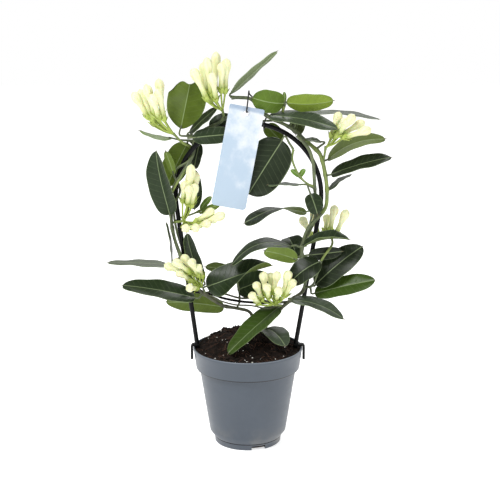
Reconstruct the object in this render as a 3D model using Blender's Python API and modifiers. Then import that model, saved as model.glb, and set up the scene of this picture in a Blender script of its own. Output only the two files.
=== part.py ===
# Potted stephanotis: a twining plant with leathery leaves and waxy flower buds, wound round a wire hoop
# in a plastic nursery pot, with a card tag hung from the hoop by a cord.
# The frame: +Z up, the pot's flat bottom at z = 0 round the origin, the hoop in the X-Z plane, the front at -Y.
import math

import bmesh
import bpy
import numpy as np
from mathutils import noise

# All lengths below are millimetres, and MM turns them into metres
MM = 0.001
GAP = 0.3

# The pot
POT_HEIGHT = 108.0
POT_RIM_R = 60.0
POT_COLLAR_Z = 85.0
POT_COLLAR_R = 56.9
POT_BODY_TOP_R = 53.2
POT_BODY_LOW_Z = 13.5
POT_BODY_LOW_R = 42.3
POT_FOOT_Z = 6.5
POT_FOOT_FLARE = 0.6
POT_BASE_R = 36.5
POT_WALL = 1.5
POT_FLOOR = 2.0
POT_STEPS = 36
DRAIN_SLOTS = 3
DRAIN_TURN_DEG = 19.3
DRAIN_SLOT_WIDTH = 16.0
DRAIN_SLOT_HEIGHT = 4.6
DRAIN_SLOT_UNDER = 9.5
DRAIN_SLOT_PAST = 12.0

# The soil, heaped towards the back
SOIL_EDGE_Z = 106.0
SOIL_HEAP = 16.0
SOIL_HEAP_CENTRE = (-3.0, 16.0)
SOIL_HEAP_R = 52.0
SOIL_LUMP = 1.3

# The wire hoop
HOOP_CENTRE = (0.8, 277.0)
HOOP_R = 78.0
HOOP_ROD_R = 2.5
HOOP_FEET_X = (-55.6, 52.3)
HOOP_FOOT_END_Z = 89.0
CROSSBAR_R = 1.4
CROSSBAR_LEFT_Z = 171.0
CROSSBAR_SAG = ((-40, 167.5), (-27, 163.0), (-12, 160.0), (0, 158.5), (25, 157.5))
CROSSBAR_RIGHT_Z = 160.5
CLIP_WIDTH = 7.0
CLIP_DROP = 14.0
CLIP_THICKNESS = 2.8

# The tag and its cord
TAG_WIDTH = 37.0
TAG_LENGTH = 109.0
TAG_THICKNESS = 0.8
TAG_LEAN_DEG = 10.8
TAG_CENTRE = (-10.6, -15.0, 320.6)
TAG_HOLE_R = 2.6
TAG_CORNER_R = 1.5
TIE_R = 0.8

# The plant
VINE_R = 1.9
VINE_STEP = 9.0
SHOOT_R = 1.1
PETIOLE_R = 1.1
BLADE_THICKNESS = 0.8
BLADE_STEPS = 6
BLADE_FULLNESS = (2.5, 0.5, 0.12)
BLADE_WIDEST = 0.9
BUD_LENGTH_STEPS = (0.0, 0.1, 0.5, 0.77, 0.93, 1.0)
BUD_RADII = (1.3, 2.8, 2.1, 4.9, 3.9, 1.4)
PEDICEL_R = 0.9

# The eye that the places of leaves, stems and buds are given from
EYE = (2.4, -1300.0, 522.0)
EYE_DOWN_DEG = 15.0


def clear_scene():
    for old in list(bpy.data.objects):
        bpy.data.objects.remove(old, do_unlink=True)


def make_collection(name):
    collection = bpy.data.collections.new(name)
    bpy.context.scene.collection.children.link(collection)
    return collection


def material(name, colour, roughness, metallic=0.0):
    made = bpy.data.materials.get(name)
    if made is None:
        made = bpy.data.materials.new(name)
        made.use_nodes = True
        shader = made.node_tree.nodes["Principled BSDF"]
        shader.inputs["Base Color"].default_value = (*colour, 1.0)
        shader.inputs["Roughness"].default_value = roughness
        shader.inputs["Metallic"].default_value = metallic
    return made


def pot_plastic():
    return material("pot_plastic", (0.14, 0.17, 0.20), 0.45)


def peat():
    return material("peat", (0.018, 0.011, 0.008), 0.95)


def black_plastic():
    return material("black_plastic", (0.012, 0.013, 0.015), 0.35)


def tag_card():
    return material("tag_card", (0.62, 0.74, 0.86), 0.5)


def leaf_green():
    return material("leaf_green", (0.035, 0.075, 0.025), 0.35)


def bud_wax():
    return material("bud_wax", (0.80, 0.82, 0.46), 0.4)


# Places


def spot(across, up, depth):
    # The point at that depth behind the hoop's plane which, from the eye, covers (across, up) of the plane
    spread = 1.0 + depth / -EYE[1]
    return np.array([EYE[0] + (across - EYE[0]) * spread, depth, EYE[2] + (up - EYE[2]) * spread])


def spots(points):
    return [spot(*point) for point in points]


def smooth_path(points, step):
    # A Catmull-Rom curve through the points, read off at even steps of its length
    p = np.array(points)
    p = np.vstack([2 * p[0] - p[1], p, 2 * p[-1] - p[-2]])
    t = np.linspace(0, 1, 16, endpoint=False)[:, None]
    runs = []
    for a, b, c, d in zip(p[:-3], p[1:-2], p[2:-1], p[3:]):
        cubic = 2 * b + (c - a) * t + (2 * a - 5 * b + 4 * c - d) * t**2 + (3 * b - a - 3 * c + d) * t**3
        runs.append(cubic / 2)
    curve = np.vstack(runs + [p[-2][None]])
    length = np.concatenate([[0], np.cumsum(np.linalg.norm(np.diff(curve, axis=0), axis=1))])
    count = max(2, int(round(length[-1] / step)) + 1)
    even = np.linspace(0, length[-1], count)
    return np.stack([np.interp(even, length, curve[:, k]) for k in range(3)], 1)


def unit(vector):
    return vector / np.linalg.norm(vector)


# Tools that make one mesh object each


def smooth_shade(mesh, angle_deg=40.0):
    mesh.shade_smooth()
    mesh.set_sharp_from_angle(angle=math.radians(angle_deg))


def mesh_from(source, name, collection, weld=0.01):
    # The evaluated shape of a curve or of a mesh with modifiers, welded, as a plain mesh object
    bpy.context.view_layer.update()
    evaluated = source.evaluated_get(bpy.context.evaluated_depsgraph_get())
    mesh = bpy.data.meshes.new_from_object(evaluated)
    if weld:
        bm = bmesh.new()
        bm.from_mesh(mesh)
        bmesh.ops.remove_doubles(bm, verts=bm.verts, dist=weld * MM)
        bm.to_mesh(mesh)
        bm.free()
    matrix = source.matrix_world.copy()
    bpy.data.objects.remove(source, do_unlink=True)
    made = bpy.data.objects.new(name, mesh)
    made.matrix_world = matrix
    collection.objects.link(made)
    mesh.name = name
    return made


def tube(name, path, radii, collection, sides=6, closed=False):
    # A round rod along the path, with one radius or one for each point
    curve = bpy.data.curves.new(name, "CURVE")
    curve.dimensions = "3D"
    curve.bevel_depth = MM
    curve.bevel_resolution = (sides - 4) // 2
    curve.use_fill_caps = not closed
    spline = curve.splines.new("POLY")
    spline.points.add(len(path) - 1)
    radii = np.broadcast_to(radii, len(path))
    for point, place_mm, radius in zip(spline.points, path, radii):
        point.co = (*(place_mm * MM), 1.0)
        point.radius = radius
    spline.use_cyclic_u = closed
    source = bpy.data.objects.new(name, curve)
    collection.objects.link(source)
    return mesh_from(source, name, collection)


def turned(name, profile, steps, collection):
    # A profile of (radius, height), run down its outer side, carried round the upright axis
    mesh = bpy.data.meshes.new(name)
    corners = [(r * MM, 0.0, z * MM) for r, z in profile]
    mesh.from_pydata(corners, [(k, k + 1) for k in range(len(corners) - 1)], [])
    source = bpy.data.objects.new(name, mesh)
    collection.objects.link(source)
    screw = source.modifiers.new("turn", "SCREW")
    screw.steps = steps
    screw.render_steps = steps
    screw.use_merge_vertices = True
    screw.merge_threshold = 0.01 * MM
    return mesh_from(source, name, collection)


def block(name, low, high, collection):
    bpy.ops.mesh.primitive_cube_add(size=1.0)
    made = bpy.context.object
    made.name = name
    for old in list(made.users_collection):
        old.objects.unlink(made)
    collection.objects.link(made)
    size = (np.array(high) - np.array(low)) * MM
    middle = (np.array(high) + np.array(low)) / 2 * MM
    for corner in made.data.vertices:
        corner.co = tuple(np.array(corner.co) * size + middle)
    return made


def cut(target, cutter):
    change = target.modifiers.new(cutter.name, "BOOLEAN")
    change.operation = "DIFFERENCE"
    change.object = cutter
    change.solver = "EXACT"
    cutter.hide_render = True
    cutter.display_type = "WIRE"


def join_all(name, pieces, collection, finish):
    # One closed body from overlapping pieces: the first takes in a collection of the rest
    first, rest = pieces[0], pieces[1:]
    heap = bpy.data.collections.new(name + "_pieces")
    bpy.context.scene.collection.children.link(heap)
    for piece in rest:
        for old in list(piece.users_collection):
            old.objects.unlink(piece)
        heap.objects.link(piece)
    change = first.modifiers.new("join", "BOOLEAN")
    change.operation = "UNION"
    change.operand_type = "COLLECTION"
    change.collection = heap
    change.solver = "EXACT"
    joined = mesh_from(first, name, collection, weld=0.0)
    for piece in rest:
        bpy.data.objects.remove(piece, do_unlink=True)
    bpy.data.collections.remove(heap)
    joined.data.materials.clear()
    joined.data.materials.append(finish)
    smooth_shade(joined.data)
    return joined


# The pot and what stands in it


def pot_inner_radius(z):
    collar = POT_COLLAR_Z + POT_WALL
    if z >= collar:
        slope = (POT_RIM_R - POT_COLLAR_R) / (POT_HEIGHT - POT_COLLAR_Z)
        return POT_COLLAR_R + slope * (z - POT_COLLAR_Z) - POT_WALL
    slope = (POT_BODY_TOP_R - POT_BODY_LOW_R) / (POT_COLLAR_Z - POT_BODY_LOW_Z)
    return POT_BODY_LOW_R + slope * (z - POT_BODY_LOW_Z) - POT_WALL


def make_pot(parts, cutters):
    ledge = POT_COLLAR_Z + POT_WALL
    inside = [
        (0, POT_FLOOR),
        (POT_BASE_R - POT_WALL, POT_FLOOR),
        (POT_BASE_R - POT_WALL, POT_FOOT_Z),
        (pot_inner_radius(POT_BODY_LOW_Z), POT_BODY_LOW_Z),
        (pot_inner_radius(ledge - 0.01), ledge),
        (pot_inner_radius(ledge), ledge),
        (pot_inner_radius(POT_HEIGHT), POT_HEIGHT),
    ]
    outside = [
        (POT_RIM_R - 0.3, POT_HEIGHT),
        (POT_RIM_R, POT_HEIGHT - 0.4),
        (POT_RIM_R - 0.2, POT_HEIGHT - 2.0),
        (POT_COLLAR_R + 0.2, POT_COLLAR_Z + 0.8),
        (POT_COLLAR_R - 0.5, POT_COLLAR_Z),
        (POT_BODY_TOP_R, POT_COLLAR_Z),
        (POT_BODY_LOW_R, POT_BODY_LOW_Z),
        (POT_BASE_R + POT_FOOT_FLARE, POT_FOOT_Z),
        (POT_BASE_R, 0),
        (0, 0),
    ]
    pot = turned("pot", inside + outside, POT_STEPS, parts)
    pot.data.materials.append(pot_plastic())
    for k in range(DRAIN_SLOTS):
        # A block through the foot of the wall and the edge of the floor
        half = DRAIN_SLOT_WIDTH / 2
        near = (POT_BASE_R - DRAIN_SLOT_UNDER, -half, -1)
        far = (POT_BASE_R + DRAIN_SLOT_PAST, half, DRAIN_SLOT_HEIGHT)
        slot = block(f"drain_{k}", near, far, cutters)
        slot.rotation_euler.z = math.radians(DRAIN_TURN_DEG - 90) + 2 * math.pi * k / DRAIN_SLOTS
        cut(pot, slot)
    smooth_shade(pot.data)
    return pot


def soil_height(x, y):
    # The heap over the level edge, with lumps
    off = ((x - SOIL_HEAP_CENTRE[0]) ** 2 + (y - SOIL_HEAP_CENTRE[1]) ** 2) / SOIL_HEAP_R**2
    heap = SOIL_HEAP * max(0.0, 1.0 - off) ** 0.9
    lump = noise.noise((x * 0.09, y * 0.09, 3.7)) + 0.6 * noise.noise((x * 0.2, y * 0.2, 9.1))
    fade = min(1.0, max(0.0, (57.0 - math.hypot(x, y)) / 8.0))
    return SOIL_EDGE_Z + heap * min(1.0, fade + 0.35) + SOIL_LUMP * lump * fade


def make_soil(parts, cutters, stems):
    ledge = POT_COLLAR_Z + POT_WALL
    floor = POT_FLOOR + GAP
    edge = pot_inner_radius(SOIL_EDGE_Z) - GAP
    top = [(edge * k / 6, SOIL_EDGE_Z) for k in range(7)]
    side = [
        (pot_inner_radius(ledge + GAP) - GAP, ledge + GAP),
        (pot_inner_radius(ledge - 0.01) - GAP, ledge + GAP),
        (pot_inner_radius(POT_BODY_LOW_Z) - GAP, POT_BODY_LOW_Z + 0.1),
        (POT_BASE_R - POT_WALL - GAP, POT_FOOT_Z + 0.1),
        (POT_BASE_R - POT_WALL - GAP, floor),
        (0, floor),
    ]
    soil = turned("soil", top + side, POT_STEPS, parts)
    for corner in soil.data.vertices:
        x, y, z = corner.co / MM
        if z > SOIL_EDGE_Z - 0.01:
            corner.co.z = soil_height(x, y) * MM
    soil.data.materials.append(peat())
    for name, path, radius in stems:
        hole = tube(name, path, radius, cutters, sides=8)
        cut(soil, hole)
    smooth_shade(soil.data, 60.0)
    return soil


# The hoop


def hoop_line(step=7.5):
    # Up the left leg, round the ring and down the right leg, each leg touching the ring smoothly
    cx, cz = HOOP_CENTRE
    ends = []
    for side, foot_x in zip((-1, 1), HOOP_FEET_X):
        dx, dz = foot_x - cx, POT_HEIGHT - cz
        reach = math.hypot(dx, dz)
        turn = math.acos(HOOP_R / reach)
        ends.append(math.atan2(dz, dx) + side * turn)
    left, right = ends[0] % (2 * math.pi), ends[1]
    count = int(round((left - right) * HOOP_R / step))
    arc = [(cx + HOOP_R * math.cos(a), cz + HOOP_R * math.sin(a)) for a in np.linspace(left, right, count + 1)]
    line = []
    for foot_x, touch in zip(HOOP_FEET_X, (arc[0], arc[-1])):
        slope = (touch[0] - foot_x) / (touch[1] - POT_HEIGHT)
        line.append((foot_x + slope * (HOOP_FOOT_END_Z - POT_HEIGHT), HOOP_FOOT_END_Z))
    legs = [np.linspace(line[0], arc[0], 5)[:-1], np.linspace(arc[-1], line[1], 5)[1:]]
    flat = np.vstack([legs[0], arc, legs[1]])
    return np.stack([flat[:, 0], np.zeros(len(flat)), flat[:, 1]], 1)


def leg_at(z, side):
    line = hoop_line()
    leg = line[:6] if side < 0 else line[-6:][::-1]
    return float(np.interp(z, leg[:, 2], leg[:, 0]))


def make_hoop(parts):
    left_end = (leg_at(CROSSBAR_LEFT_Z, -1), CROSSBAR_LEFT_Z)
    right_end = (leg_at(CROSSBAR_RIGHT_Z, 1), CROSSBAR_RIGHT_Z)
    bar = [np.array([x, 0.0, z]) for x, z in (left_end, *CROSSBAR_SAG, right_end)]
    pieces = [
        tube("rod", hoop_line(), HOOP_ROD_R, parts, sides=8),
        tube("crossbar", smooth_path(bar, 11.0), CROSSBAR_R, parts),
    ]
    for side, foot_x in zip((-1, 1), HOOP_FEET_X):
        # A hook over the rim: a bridge from the rod, and a tongue down the outside of the collar
        inner, outer = abs(foot_x) - 1.0, POT_RIM_R + GAP + CLIP_THICKNESS
        across = sorted((side * inner, side * outer))
        low = POT_HEIGHT + GAP
        half = CLIP_WIDTH / 2
        bridge_low, bridge_high = (across[0], -half + 0.5, low), (across[1], half - 0.5, low + 3.0)
        pieces.append(block("bridge", bridge_low, bridge_high, parts))
        tongue_across = sorted((side * (POT_RIM_R + GAP), side * (outer + 0.2)))
        tongue_low = (tongue_across[0], -half, POT_HEIGHT - CLIP_DROP)
        pieces.append(block("tongue", tongue_low, (tongue_across[1], half, low + 2.4), parts))
    return join_all("hoop", pieces, parts, black_plastic())


# The tag


def make_tag(parts):
    curve = bpy.data.curves.new("tag", "CURVE")
    curve.dimensions = "2D"
    curve.fill_mode = "BOTH"
    curve.extrude = TAG_THICKNESS / 2 * MM
    half_w, half_l = TAG_WIDTH / 2 - TAG_CORNER_R, TAG_LENGTH / 2 - TAG_CORNER_R
    outline = []
    for corner, (sx, sy) in enumerate(((1, 1), (-1, 1), (-1, -1), (1, -1))):
        for a in np.linspace(0, math.pi / 2, 4) + corner * math.pi / 2:
            outline.append((sx * half_w + TAG_CORNER_R * math.cos(a), sy * half_l + TAG_CORNER_R * math.sin(a)))
    hole_y = TAG_LENGTH / 2 - 7.0
    ring = [(TAG_HOLE_R * math.cos(a), hole_y + TAG_HOLE_R * math.sin(a)) for a in np.arange(10) * math.pi / 5]
    for points in (outline, ring):
        spline = curve.splines.new("POLY")
        spline.points.add(len(points) - 1)
        for point, (x, y) in zip(spline.points, points):
            point.co = (x * MM, y * MM, 0.0, 1.0)
        spline.use_cyclic_u = True
    source = bpy.data.objects.new("tag", curve)
    source.location = tuple(np.array(TAG_CENTRE) * MM)
    source.rotation_euler = (math.pi / 2, math.radians(TAG_LEAN_DEG), 0.0)
    parts.objects.link(source)
    tag = mesh_from(source, "tag", parts)
    tag.data.materials.append(tag_card())
    return tag


def tag_hole():
    lean = math.radians(TAG_LEAN_DEG)
    up = TAG_LENGTH / 2 - 7.0
    return np.array(TAG_CENTRE) + np.array([math.sin(lean) * up, 0.0, math.cos(lean) * up])


def make_tie(parts):
    # A cord loop through the tag's hole, over the top stem and round the hoop's rod
    hole = tag_hole()
    front, back = hole + (0.4, -2.6, 1.4), hole + (0.4, 3.0, 1.4)
    loop = [
        front,
        front + (1.0, 0.2, 8.0),
        np.array([hole[0] + 2.5, -10.0, 386.0]),
        np.array([hole[0] + 3.0, -1.0, 389.0]),
        np.array([hole[0] + 4.5, 6.0, 384.0]),
        np.array([15.0, 8.0, 373.0]),
        np.array([20.5, 7.0, 364.0]),
        np.array([18.0, 5.5, 356.0]),
        np.array([17.5, 2.8, 349.4]),
        np.array([17.0, -2.8, 349.6]),
        np.array([16.6, -5.2, 355.0]),
        np.array([13.5, -7.0, 361.5]),
        np.array([8.0, -9.5, 367.5]),
        back + (1.2, -0.4, -0.4),
    ]
    path = smooth_path(loop + [loop[0]], 5.5)[:-1]
    tie = tube("tag_tie", path, TIE_R, parts, sides=4, closed=True)
    tie.data.materials.append(black_plastic())
    smooth_shade(tie.data)
    return tie


# Leaves and buds


def leaf_frame(base, tip, roll_deg):
    # The midrib's direction, the upper side's direction, and the way across the blade.
    # Roll 0 turns the upper side to the eye, 90 turns it up, 180 turns it away.
    along = unit(tip - base)
    down = math.radians(EYE_DOWN_DEG)
    to_eye = np.array([0.0, -math.cos(down), math.sin(down)])
    facing = unit(to_eye - along * (to_eye @ along))
    upward = np.cross(along, facing)
    if upward[2] < 0:
        upward = -upward
    roll = math.radians(roll_deg)
    normal = facing * math.cos(roll) + upward * math.sin(roll)
    return along, normal, np.cross(normal, along)


def blade_half_width(u, widest):
    # An oblong outline with a full rounded base, its widest place set by the power of u, and a closer tip
    power, fullness, closing = BLADE_FULLNESS
    return (1.0 - np.abs(2 * u**widest - 1) ** power).clip(0) ** (fullness + closing * u**2)


def make_blade(name, base, tip, width, roll, arch, fold, widest, collection):
    # A grid over u (base to tip) and v (side to side): each half is raised from the midrib by the fold angle,
    # the midrib bows towards the upper side by the arch, and the margin waves a little.
    # Roll and fold are one angle, or a pair for the base and the tip, which twists the blade.
    rolls, folds = np.broadcast_to(roll, 2), np.broadcast_to(fold, 2)
    length = np.linalg.norm(tip - base)
    steps = BLADE_STEPS - (length < 45) - (length < 22)
    bm = bmesh.new()
    bmesh.ops.create_grid(bm, x_segments=steps, y_segments=2, size=1.0)
    for corner in bm.verts:
        u = (1 - math.cos(math.pi * (corner.co.x + 1) / 2)) / 2
        v = corner.co.y
        along, normal, side = leaf_frame(base, tip, np.interp(u, (0, 1), rolls))
        lean = math.radians(np.interp(u, (0, 1), folds))
        half = max(float(blade_half_width(np.array(u), widest)) * width / 2, 0.7)
        wave = 0.02 * width * v * v * math.sin(9.0 * u + 2.0 * v)
        place_mm = base + along * length * u + normal * (arch * 4 * u * (1 - u) + wave)
        place_mm = place_mm + side * v * half * math.cos(lean) + normal * abs(v) * half * math.sin(lean)
        corner.co = tuple(place_mm * MM)
    bmesh.ops.triangulate(bm, faces=bm.faces)
    mesh = bpy.data.meshes.new(name)
    bm.to_mesh(mesh)
    bm.free()
    source = bpy.data.objects.new(name, mesh)
    collection.objects.link(source)
    shell = source.modifiers.new("thickness", "SOLIDIFY")
    shell.thickness = BLADE_THICKNESS * MM
    shell.offset = 0.0
    shell.use_even_offset = False
    return mesh_from(source, name, collection)


def make_petiole(name, root, base, tip, length_in, collection):
    # A short stalk that leaves the stem, turns into the blade's line and ends inside the blade
    along = unit(tip - base)
    reach = np.linalg.norm(base - root)
    bend = base - along * 0.35 * reach
    inside = base + along * length_in
    return tube(name, smooth_path([root, (root + bend) / 2, bend, inside], 9.0), PETIOLE_R, collection, sides=4)


def nearest(path, point):
    return path[np.argmin(np.linalg.norm(path - point, axis=1))]


def make_leafy_stem(name, stems, leaves, parts):
    # stems: (points, radius); leaves: (base, tip, width, roll, arch, fold) and, if not the usual, the root and
    # the power that sets the widest place
    pieces = []
    paths = []
    for points, radius in stems:
        path = points if isinstance(points, np.ndarray) else smooth_path(spots(points), VINE_STEP)
        paths.append(path)
        pieces.append(tube(name, path, radius, parts))
    all_paths = np.vstack(paths)
    for leaf in leaves:
        base, tip = spot(*leaf[0]), spot(*leaf[1])
        root = spot(*leaf[6]) if len(leaf) > 6 and leaf[6] else nearest(all_paths, base)
        widest = leaf[7] if len(leaf) > 7 else BLADE_WIDEST
        pieces.append(make_blade(name, base, tip, *leaf[2:6], widest, parts))
        pieces.append(make_petiole(name, root, base, tip, 4.0, parts))
    return join_all(name, pieces, parts, leaf_green())


def make_bud(name, base, calyx, tip, collection):
    # A pedicel, a swollen calyx, the flower's narrow tube and its closed head, as one tube of changing radius
    body = [calyx + (tip - calyx) * t for t in BUD_LENGTH_STEPS]
    scale = min(1.0, max(0.75, np.linalg.norm(tip - calyx) / 34.0))
    thickness = [r * (0.75 + 0.25 * scale) for r in BUD_RADII]
    return tube(name, np.array([base] + body), [PEDICEL_R] + thickness, collection)


def make_umbel(name, stalk, buds, parts):
    # stalk: the points of the common stalk, which ends where the pedicels meet; buds: (calyx, tip)
    path = smooth_path(spots(stalk), 7.0)
    pieces = [tube(name, path, SHOOT_R + 0.2, parts)]
    base = path[-1]
    for k, (calyx, tip) in enumerate(buds):
        inner = path[-2] + (base - path[-2]) * (0.6 + 0.4 * k / len(buds))
        pieces.append(make_bud(name, inner, spot(*calyx), spot(*tip), parts))
    return join_all(name, pieces, parts, bud_wax())


# The vine from the soil, its leafy stretches in order, each one meeting the next end to end

RIGHT_VINE = [
    (16, 106, 12), (16, 112, 12), (16, 119, 12), (20, 132, 8), (28, 143, 3), (38, 153, -4), (50, 163, -8),
    (60, 171, -8.5), (63, 184, -9), (62, 199, -9), (58.5, 213, -8.5), (60, 226, -8), (62.5, 235, -7.8),
    (67, 243, -7.8), (74, 251.5, -7.8), (80, 258, -5.5), (84.2, 266, -1), (85, 277, 0), (84.5, 288, 0),
    (82.8, 300, 0), (80, 313, 0), (76.5, 322.5, 1), (69, 330, 2.5), (60.4, 337.2, 4), (52, 345.5, 5),
    (42, 352, 5), (32, 356.8, 4.6), (24, 360.5, 3.5), (15.5, 366.5, 1), (8, 376, 0.5), (2, 381, 0.5),
    (-8, 382, 0), (-17, 382, -1.5),
]
LEFT_VINE = [
    (12.5, 106, 17.5), (12.5, 112, 17.5), (12.5, 119, 17), (10, 130, 14), (6, 140, 9), (1, 148, 4),
    (-12, 151.5, -1), (-27, 154.5, -4.5), (-38, 161, -7), (-46, 167, -8), (-54, 173, -8.5),
    (-60, 181, -8.8), (-65.5, 191, -8.2), (-70, 201, -7.3), (-73.5, 212, -6.5), (-77.3, 223, -4.5),
    (-80, 233, -1), (-82, 245, 1.5), (-82.6, 258, 2.5), (-83, 272, 0), (-80.5, 283, -3.8),
    (-76.5, 291, -6.8), (-71, 299, -7.2), (-66, 307, -5.8), (-61.5, 315, -1.4), (-58, 322.5, 4.2),
    (-57, 330, 7), (-56.5, 337, 6), (-52, 343.5, 4.5), (-45, 348.5, 3.6), (-37, 352.3, 3.2),
    (-30, 355.5, 2.8), (-24.8, 360.5, 2),
]
INNER_VINE = [
    (60, 221, -4.5), (62, 229, 1), (66.5, 238, 6.5), (71, 248, 7.2), (73.5, 258, 6.2), (73, 270, 2.5),
    (71.8, 285, -1), (70.8, 300, -4.5), (69.8, 312, -7), (66, 325, -6.8), (60, 334, -5), (52, 342, -3.5),
]
RIGHT_CUTS = [(60, 171, -8.5), (60.5, 228, -8), (80, 258, -5.5), (60.4, 337.2, 4)]
INNER_CUT = (72.5, 277, 1)
LEFT_CUTS = [(-54, 173, -8.5), (-80, 234, -1), (-71, 299, -7.2)]


def stretch(vine, first_cut, last_cut):
    # The part of a vine between two cuts, each square across it with a small gap; no cut keeps the end
    path = smooth_path(spots(vine), VINE_STEP)
    middles = (path[:-1] + path[1:]) / 2
    start, end = [path[0]], [path[-1]]
    low, high = 1, len(path) - 1
    if first_cut:
        low = int(np.argmin(np.linalg.norm(middles - spot(*first_cut), axis=1)))
        start = [middles[low] + unit(path[low + 1] - path[low]) * GAP / 2]
        low += 1
    if last_cut:
        high = int(np.argmin(np.linalg.norm(middles - spot(*last_cut), axis=1)))
        end = [middles[high] - unit(path[high + 1] - path[high]) * GAP / 2]
        high += 1
    return np.vstack([start, path[low:high], end])


def make_right_foot(parts):
    stems = [(stretch(RIGHT_VINE, None, RIGHT_CUTS[0]), VINE_R + 0.1)]
    leaves = [
        ((33, 152, -5), (-21.5, 100, -38), 32, 52, 1.6, 16, None, 0.62),
        ((19, 128, 3), (41, 108.5, -28), 28, 46, 5, 12),
        ((48, 161, -18), (105, 139.5, -31), 25, 59, 5.5, 12),
    ]
    return make_leafy_stem("vine_right_foot", stems, leaves, parts)


def make_right_low(parts):
    stems = [
        (stretch(RIGHT_VINE, RIGHT_CUTS[0], RIGHT_CUTS[1]), VINE_R),
        ([(61, 175, -8.7), (70, 177, -13), (75, 188, -15), (79.5, 204, -14)], SHOOT_R),
    ]
    leaves = [
        ((73, 168.6, -10.5), (138.5, 183.5, -22), 26, 36, 1, 10),
        ((74, 178, -9), (124, 221, -2), 31, 28, 4, 10),
        ((78, 204, -15), (46, 180, -19), 28, 30, 5, 10),
        ((66, 211.5, -9), (102, 215.5, -6), 14, -8, 1.5, 10),
        ((54, 216, -9), (45, 229, 15), 26, 10, 4, 35),
        ((47, 221, -10), (-17, 201, -20), 24, 60, 14, 5),
        ((53, 208, -12), (18, 218, -26), 20, 145, 2.3, 8),
        ((60, 221, -16), (109.6, 229, -19), 28, 71, 4.4, 32),
    ]
    return make_leafy_stem("vine_right_low", stems, leaves, parts)


def make_right_middle(parts):
    points = stretch(RIGHT_VINE, RIGHT_CUTS[1], RIGHT_CUTS[2])
    leaves = [((63, 259, -14), (-3.5, 247, -25), 27, (116, 35), 9, 5, (66, 241.5, -7.8))]
    return make_leafy_stem("vine_right_middle", [(points, VINE_R + 0.1)], leaves, parts)


def make_right_outer(parts):
    points = stretch(RIGHT_VINE, RIGHT_CUTS[2], RIGHT_CUTS[3])
    leaves = [
        ((89, 300, -4), (152.5, 318.5, -12), 30, 58, 2, 12),
        ((88, 284, 4), (110, 300, 16), 22, 76, 2, 5),
        ((84, 314, 3), (141.5, 337, 8), 24, 122, 10, 10),
        ((78, 335, -4), (61, 337, -7), 12, 60, 1, 10),
    ]
    return make_leafy_stem("vine_right_outer", [(points, VINE_R + 0.2)], leaves, parts)


def make_inner_low(parts):
    points = stretch(INNER_VINE, None, INNER_CUT)
    leaves = [((67, 279, -8), (75, 256.5, -15), 19, 10, 2, 10, (73.4, 263, 4.8))]
    return make_leafy_stem("vine_inner_low", [(points, VINE_R - 0.1)], leaves, parts)


def make_inner_high(parts):
    points = stretch(INNER_VINE, INNER_CUT, None)
    young = [(71.3, 287, -1.4), (64, 290, -6), (57, 296, -9), (52, 304, -10.5), (47.5, 316, -10.5), (48.5, 327, -9)]
    leaves = [
        ((57, 289, -7), (22, 289, -14), 24, 78, 0.5, 5, (71.6, 284, -1)),
        ((36.5, 336.5, -6), (0.5, 278.5, -9), 47, 4, 2, 8),
        ((55, 298, -10), (46, 305, -12), 6, 20, 1, 5),
        ((56, 298, -9), (61, 306, -10), 6, 20, 1, 5),
    ]
    return make_leafy_stem("vine_inner_high", [(points, VINE_R - 0.1), (young, SHOOT_R)], leaves, parts)


def make_top_right(parts):
    points = stretch(RIGHT_VINE, RIGHT_CUTS[3], None)
    young = [(32, 356.8, 4.6), (36, 365, 0), (38.5, 373.5, -4)]
    leaves = [
        ((-18, 386, -2), (30, 430, -12), 20, 104, 0.5, 8),
        ((38, 376, -6), (5, 382, -12), 26, 150, -4, 8, (37.8, 371, -2.8)),
        ((41, 377, -4), (90, 379, -10), 24, 132, -4, 12, (37.3, 369, -1.8)),
        ((38.5, 377, -4), (38.5, 388, -4), 4.5, 20, 0.5, 10),
        ((22, 363, -4), (90, 351.5, -20), 27, 60, 3.5, 10),
        ((62, 366, 10), (138.5, 359.5, 20), 28, 72, 2.6, 8, (48, 348.5, 5)),
        ((55, 362, 12), (50, 344, 16), 16, 20, 2, 8, (43, 351.5, 5)),
        ((19, 353, 14), (36, 335, 15), 18, 155, 2, 10, (29, 358, 4.3)),
    ]
    return make_leafy_stem("vine_top_right", [(points, VINE_R), (young, SHOOT_R)], leaves, parts)


def make_left_foot(parts):
    points = stretch(LEFT_VINE, None, LEFT_CUTS[0])
    side = [(-12, 151.5, -1), (-9, 160, 5.5), (-10, 175, 8.5), (-14, 190, 8)]
    leaves = [
        ((-26, 155, 7), (-89, 161.5, 19), 25, 150, 3, 10),
        ((-58, 163.5, -13), (-136.5, 177.5, -20.5), 33, 54, 1.8, 12, (-48, 168.6, -8.1), 0.75),
        ((-45, 176, -12), (26, 200, -22), 37, (0, 95), 1, (0, 50), (-46.5, 167.4, -8)),
        ((-11, 172, 9), (25, 186, 4), 28, 15, 2, 10),
        ((-17, 193, 8), (-46, 198.5, 6), 14, 140, 2, 10),
    ]
    return make_leafy_stem("vine_left_foot", [(points, VINE_R), (side, SHOOT_R)], leaves, parts)


def make_left_low(parts):
    points = stretch(LEFT_VINE, LEFT_CUTS[0], LEFT_CUTS[1])
    leaves = [
        ((-82, 200, 3), (-151.5, 203.5, 8), 28, 74, 0.8, 5),
        ((-82, 206, -5), (-87.5, 247, -13), 14, 84, 1, 5),
        ((-48, 182, -5), (-65.5, 235, -2), 22, 50, -4, 5, (-57.5, 177.5, -8.6)),
    ]
    return make_leafy_stem("vine_left_low", [(points, VINE_R)], leaves, parts)


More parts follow.
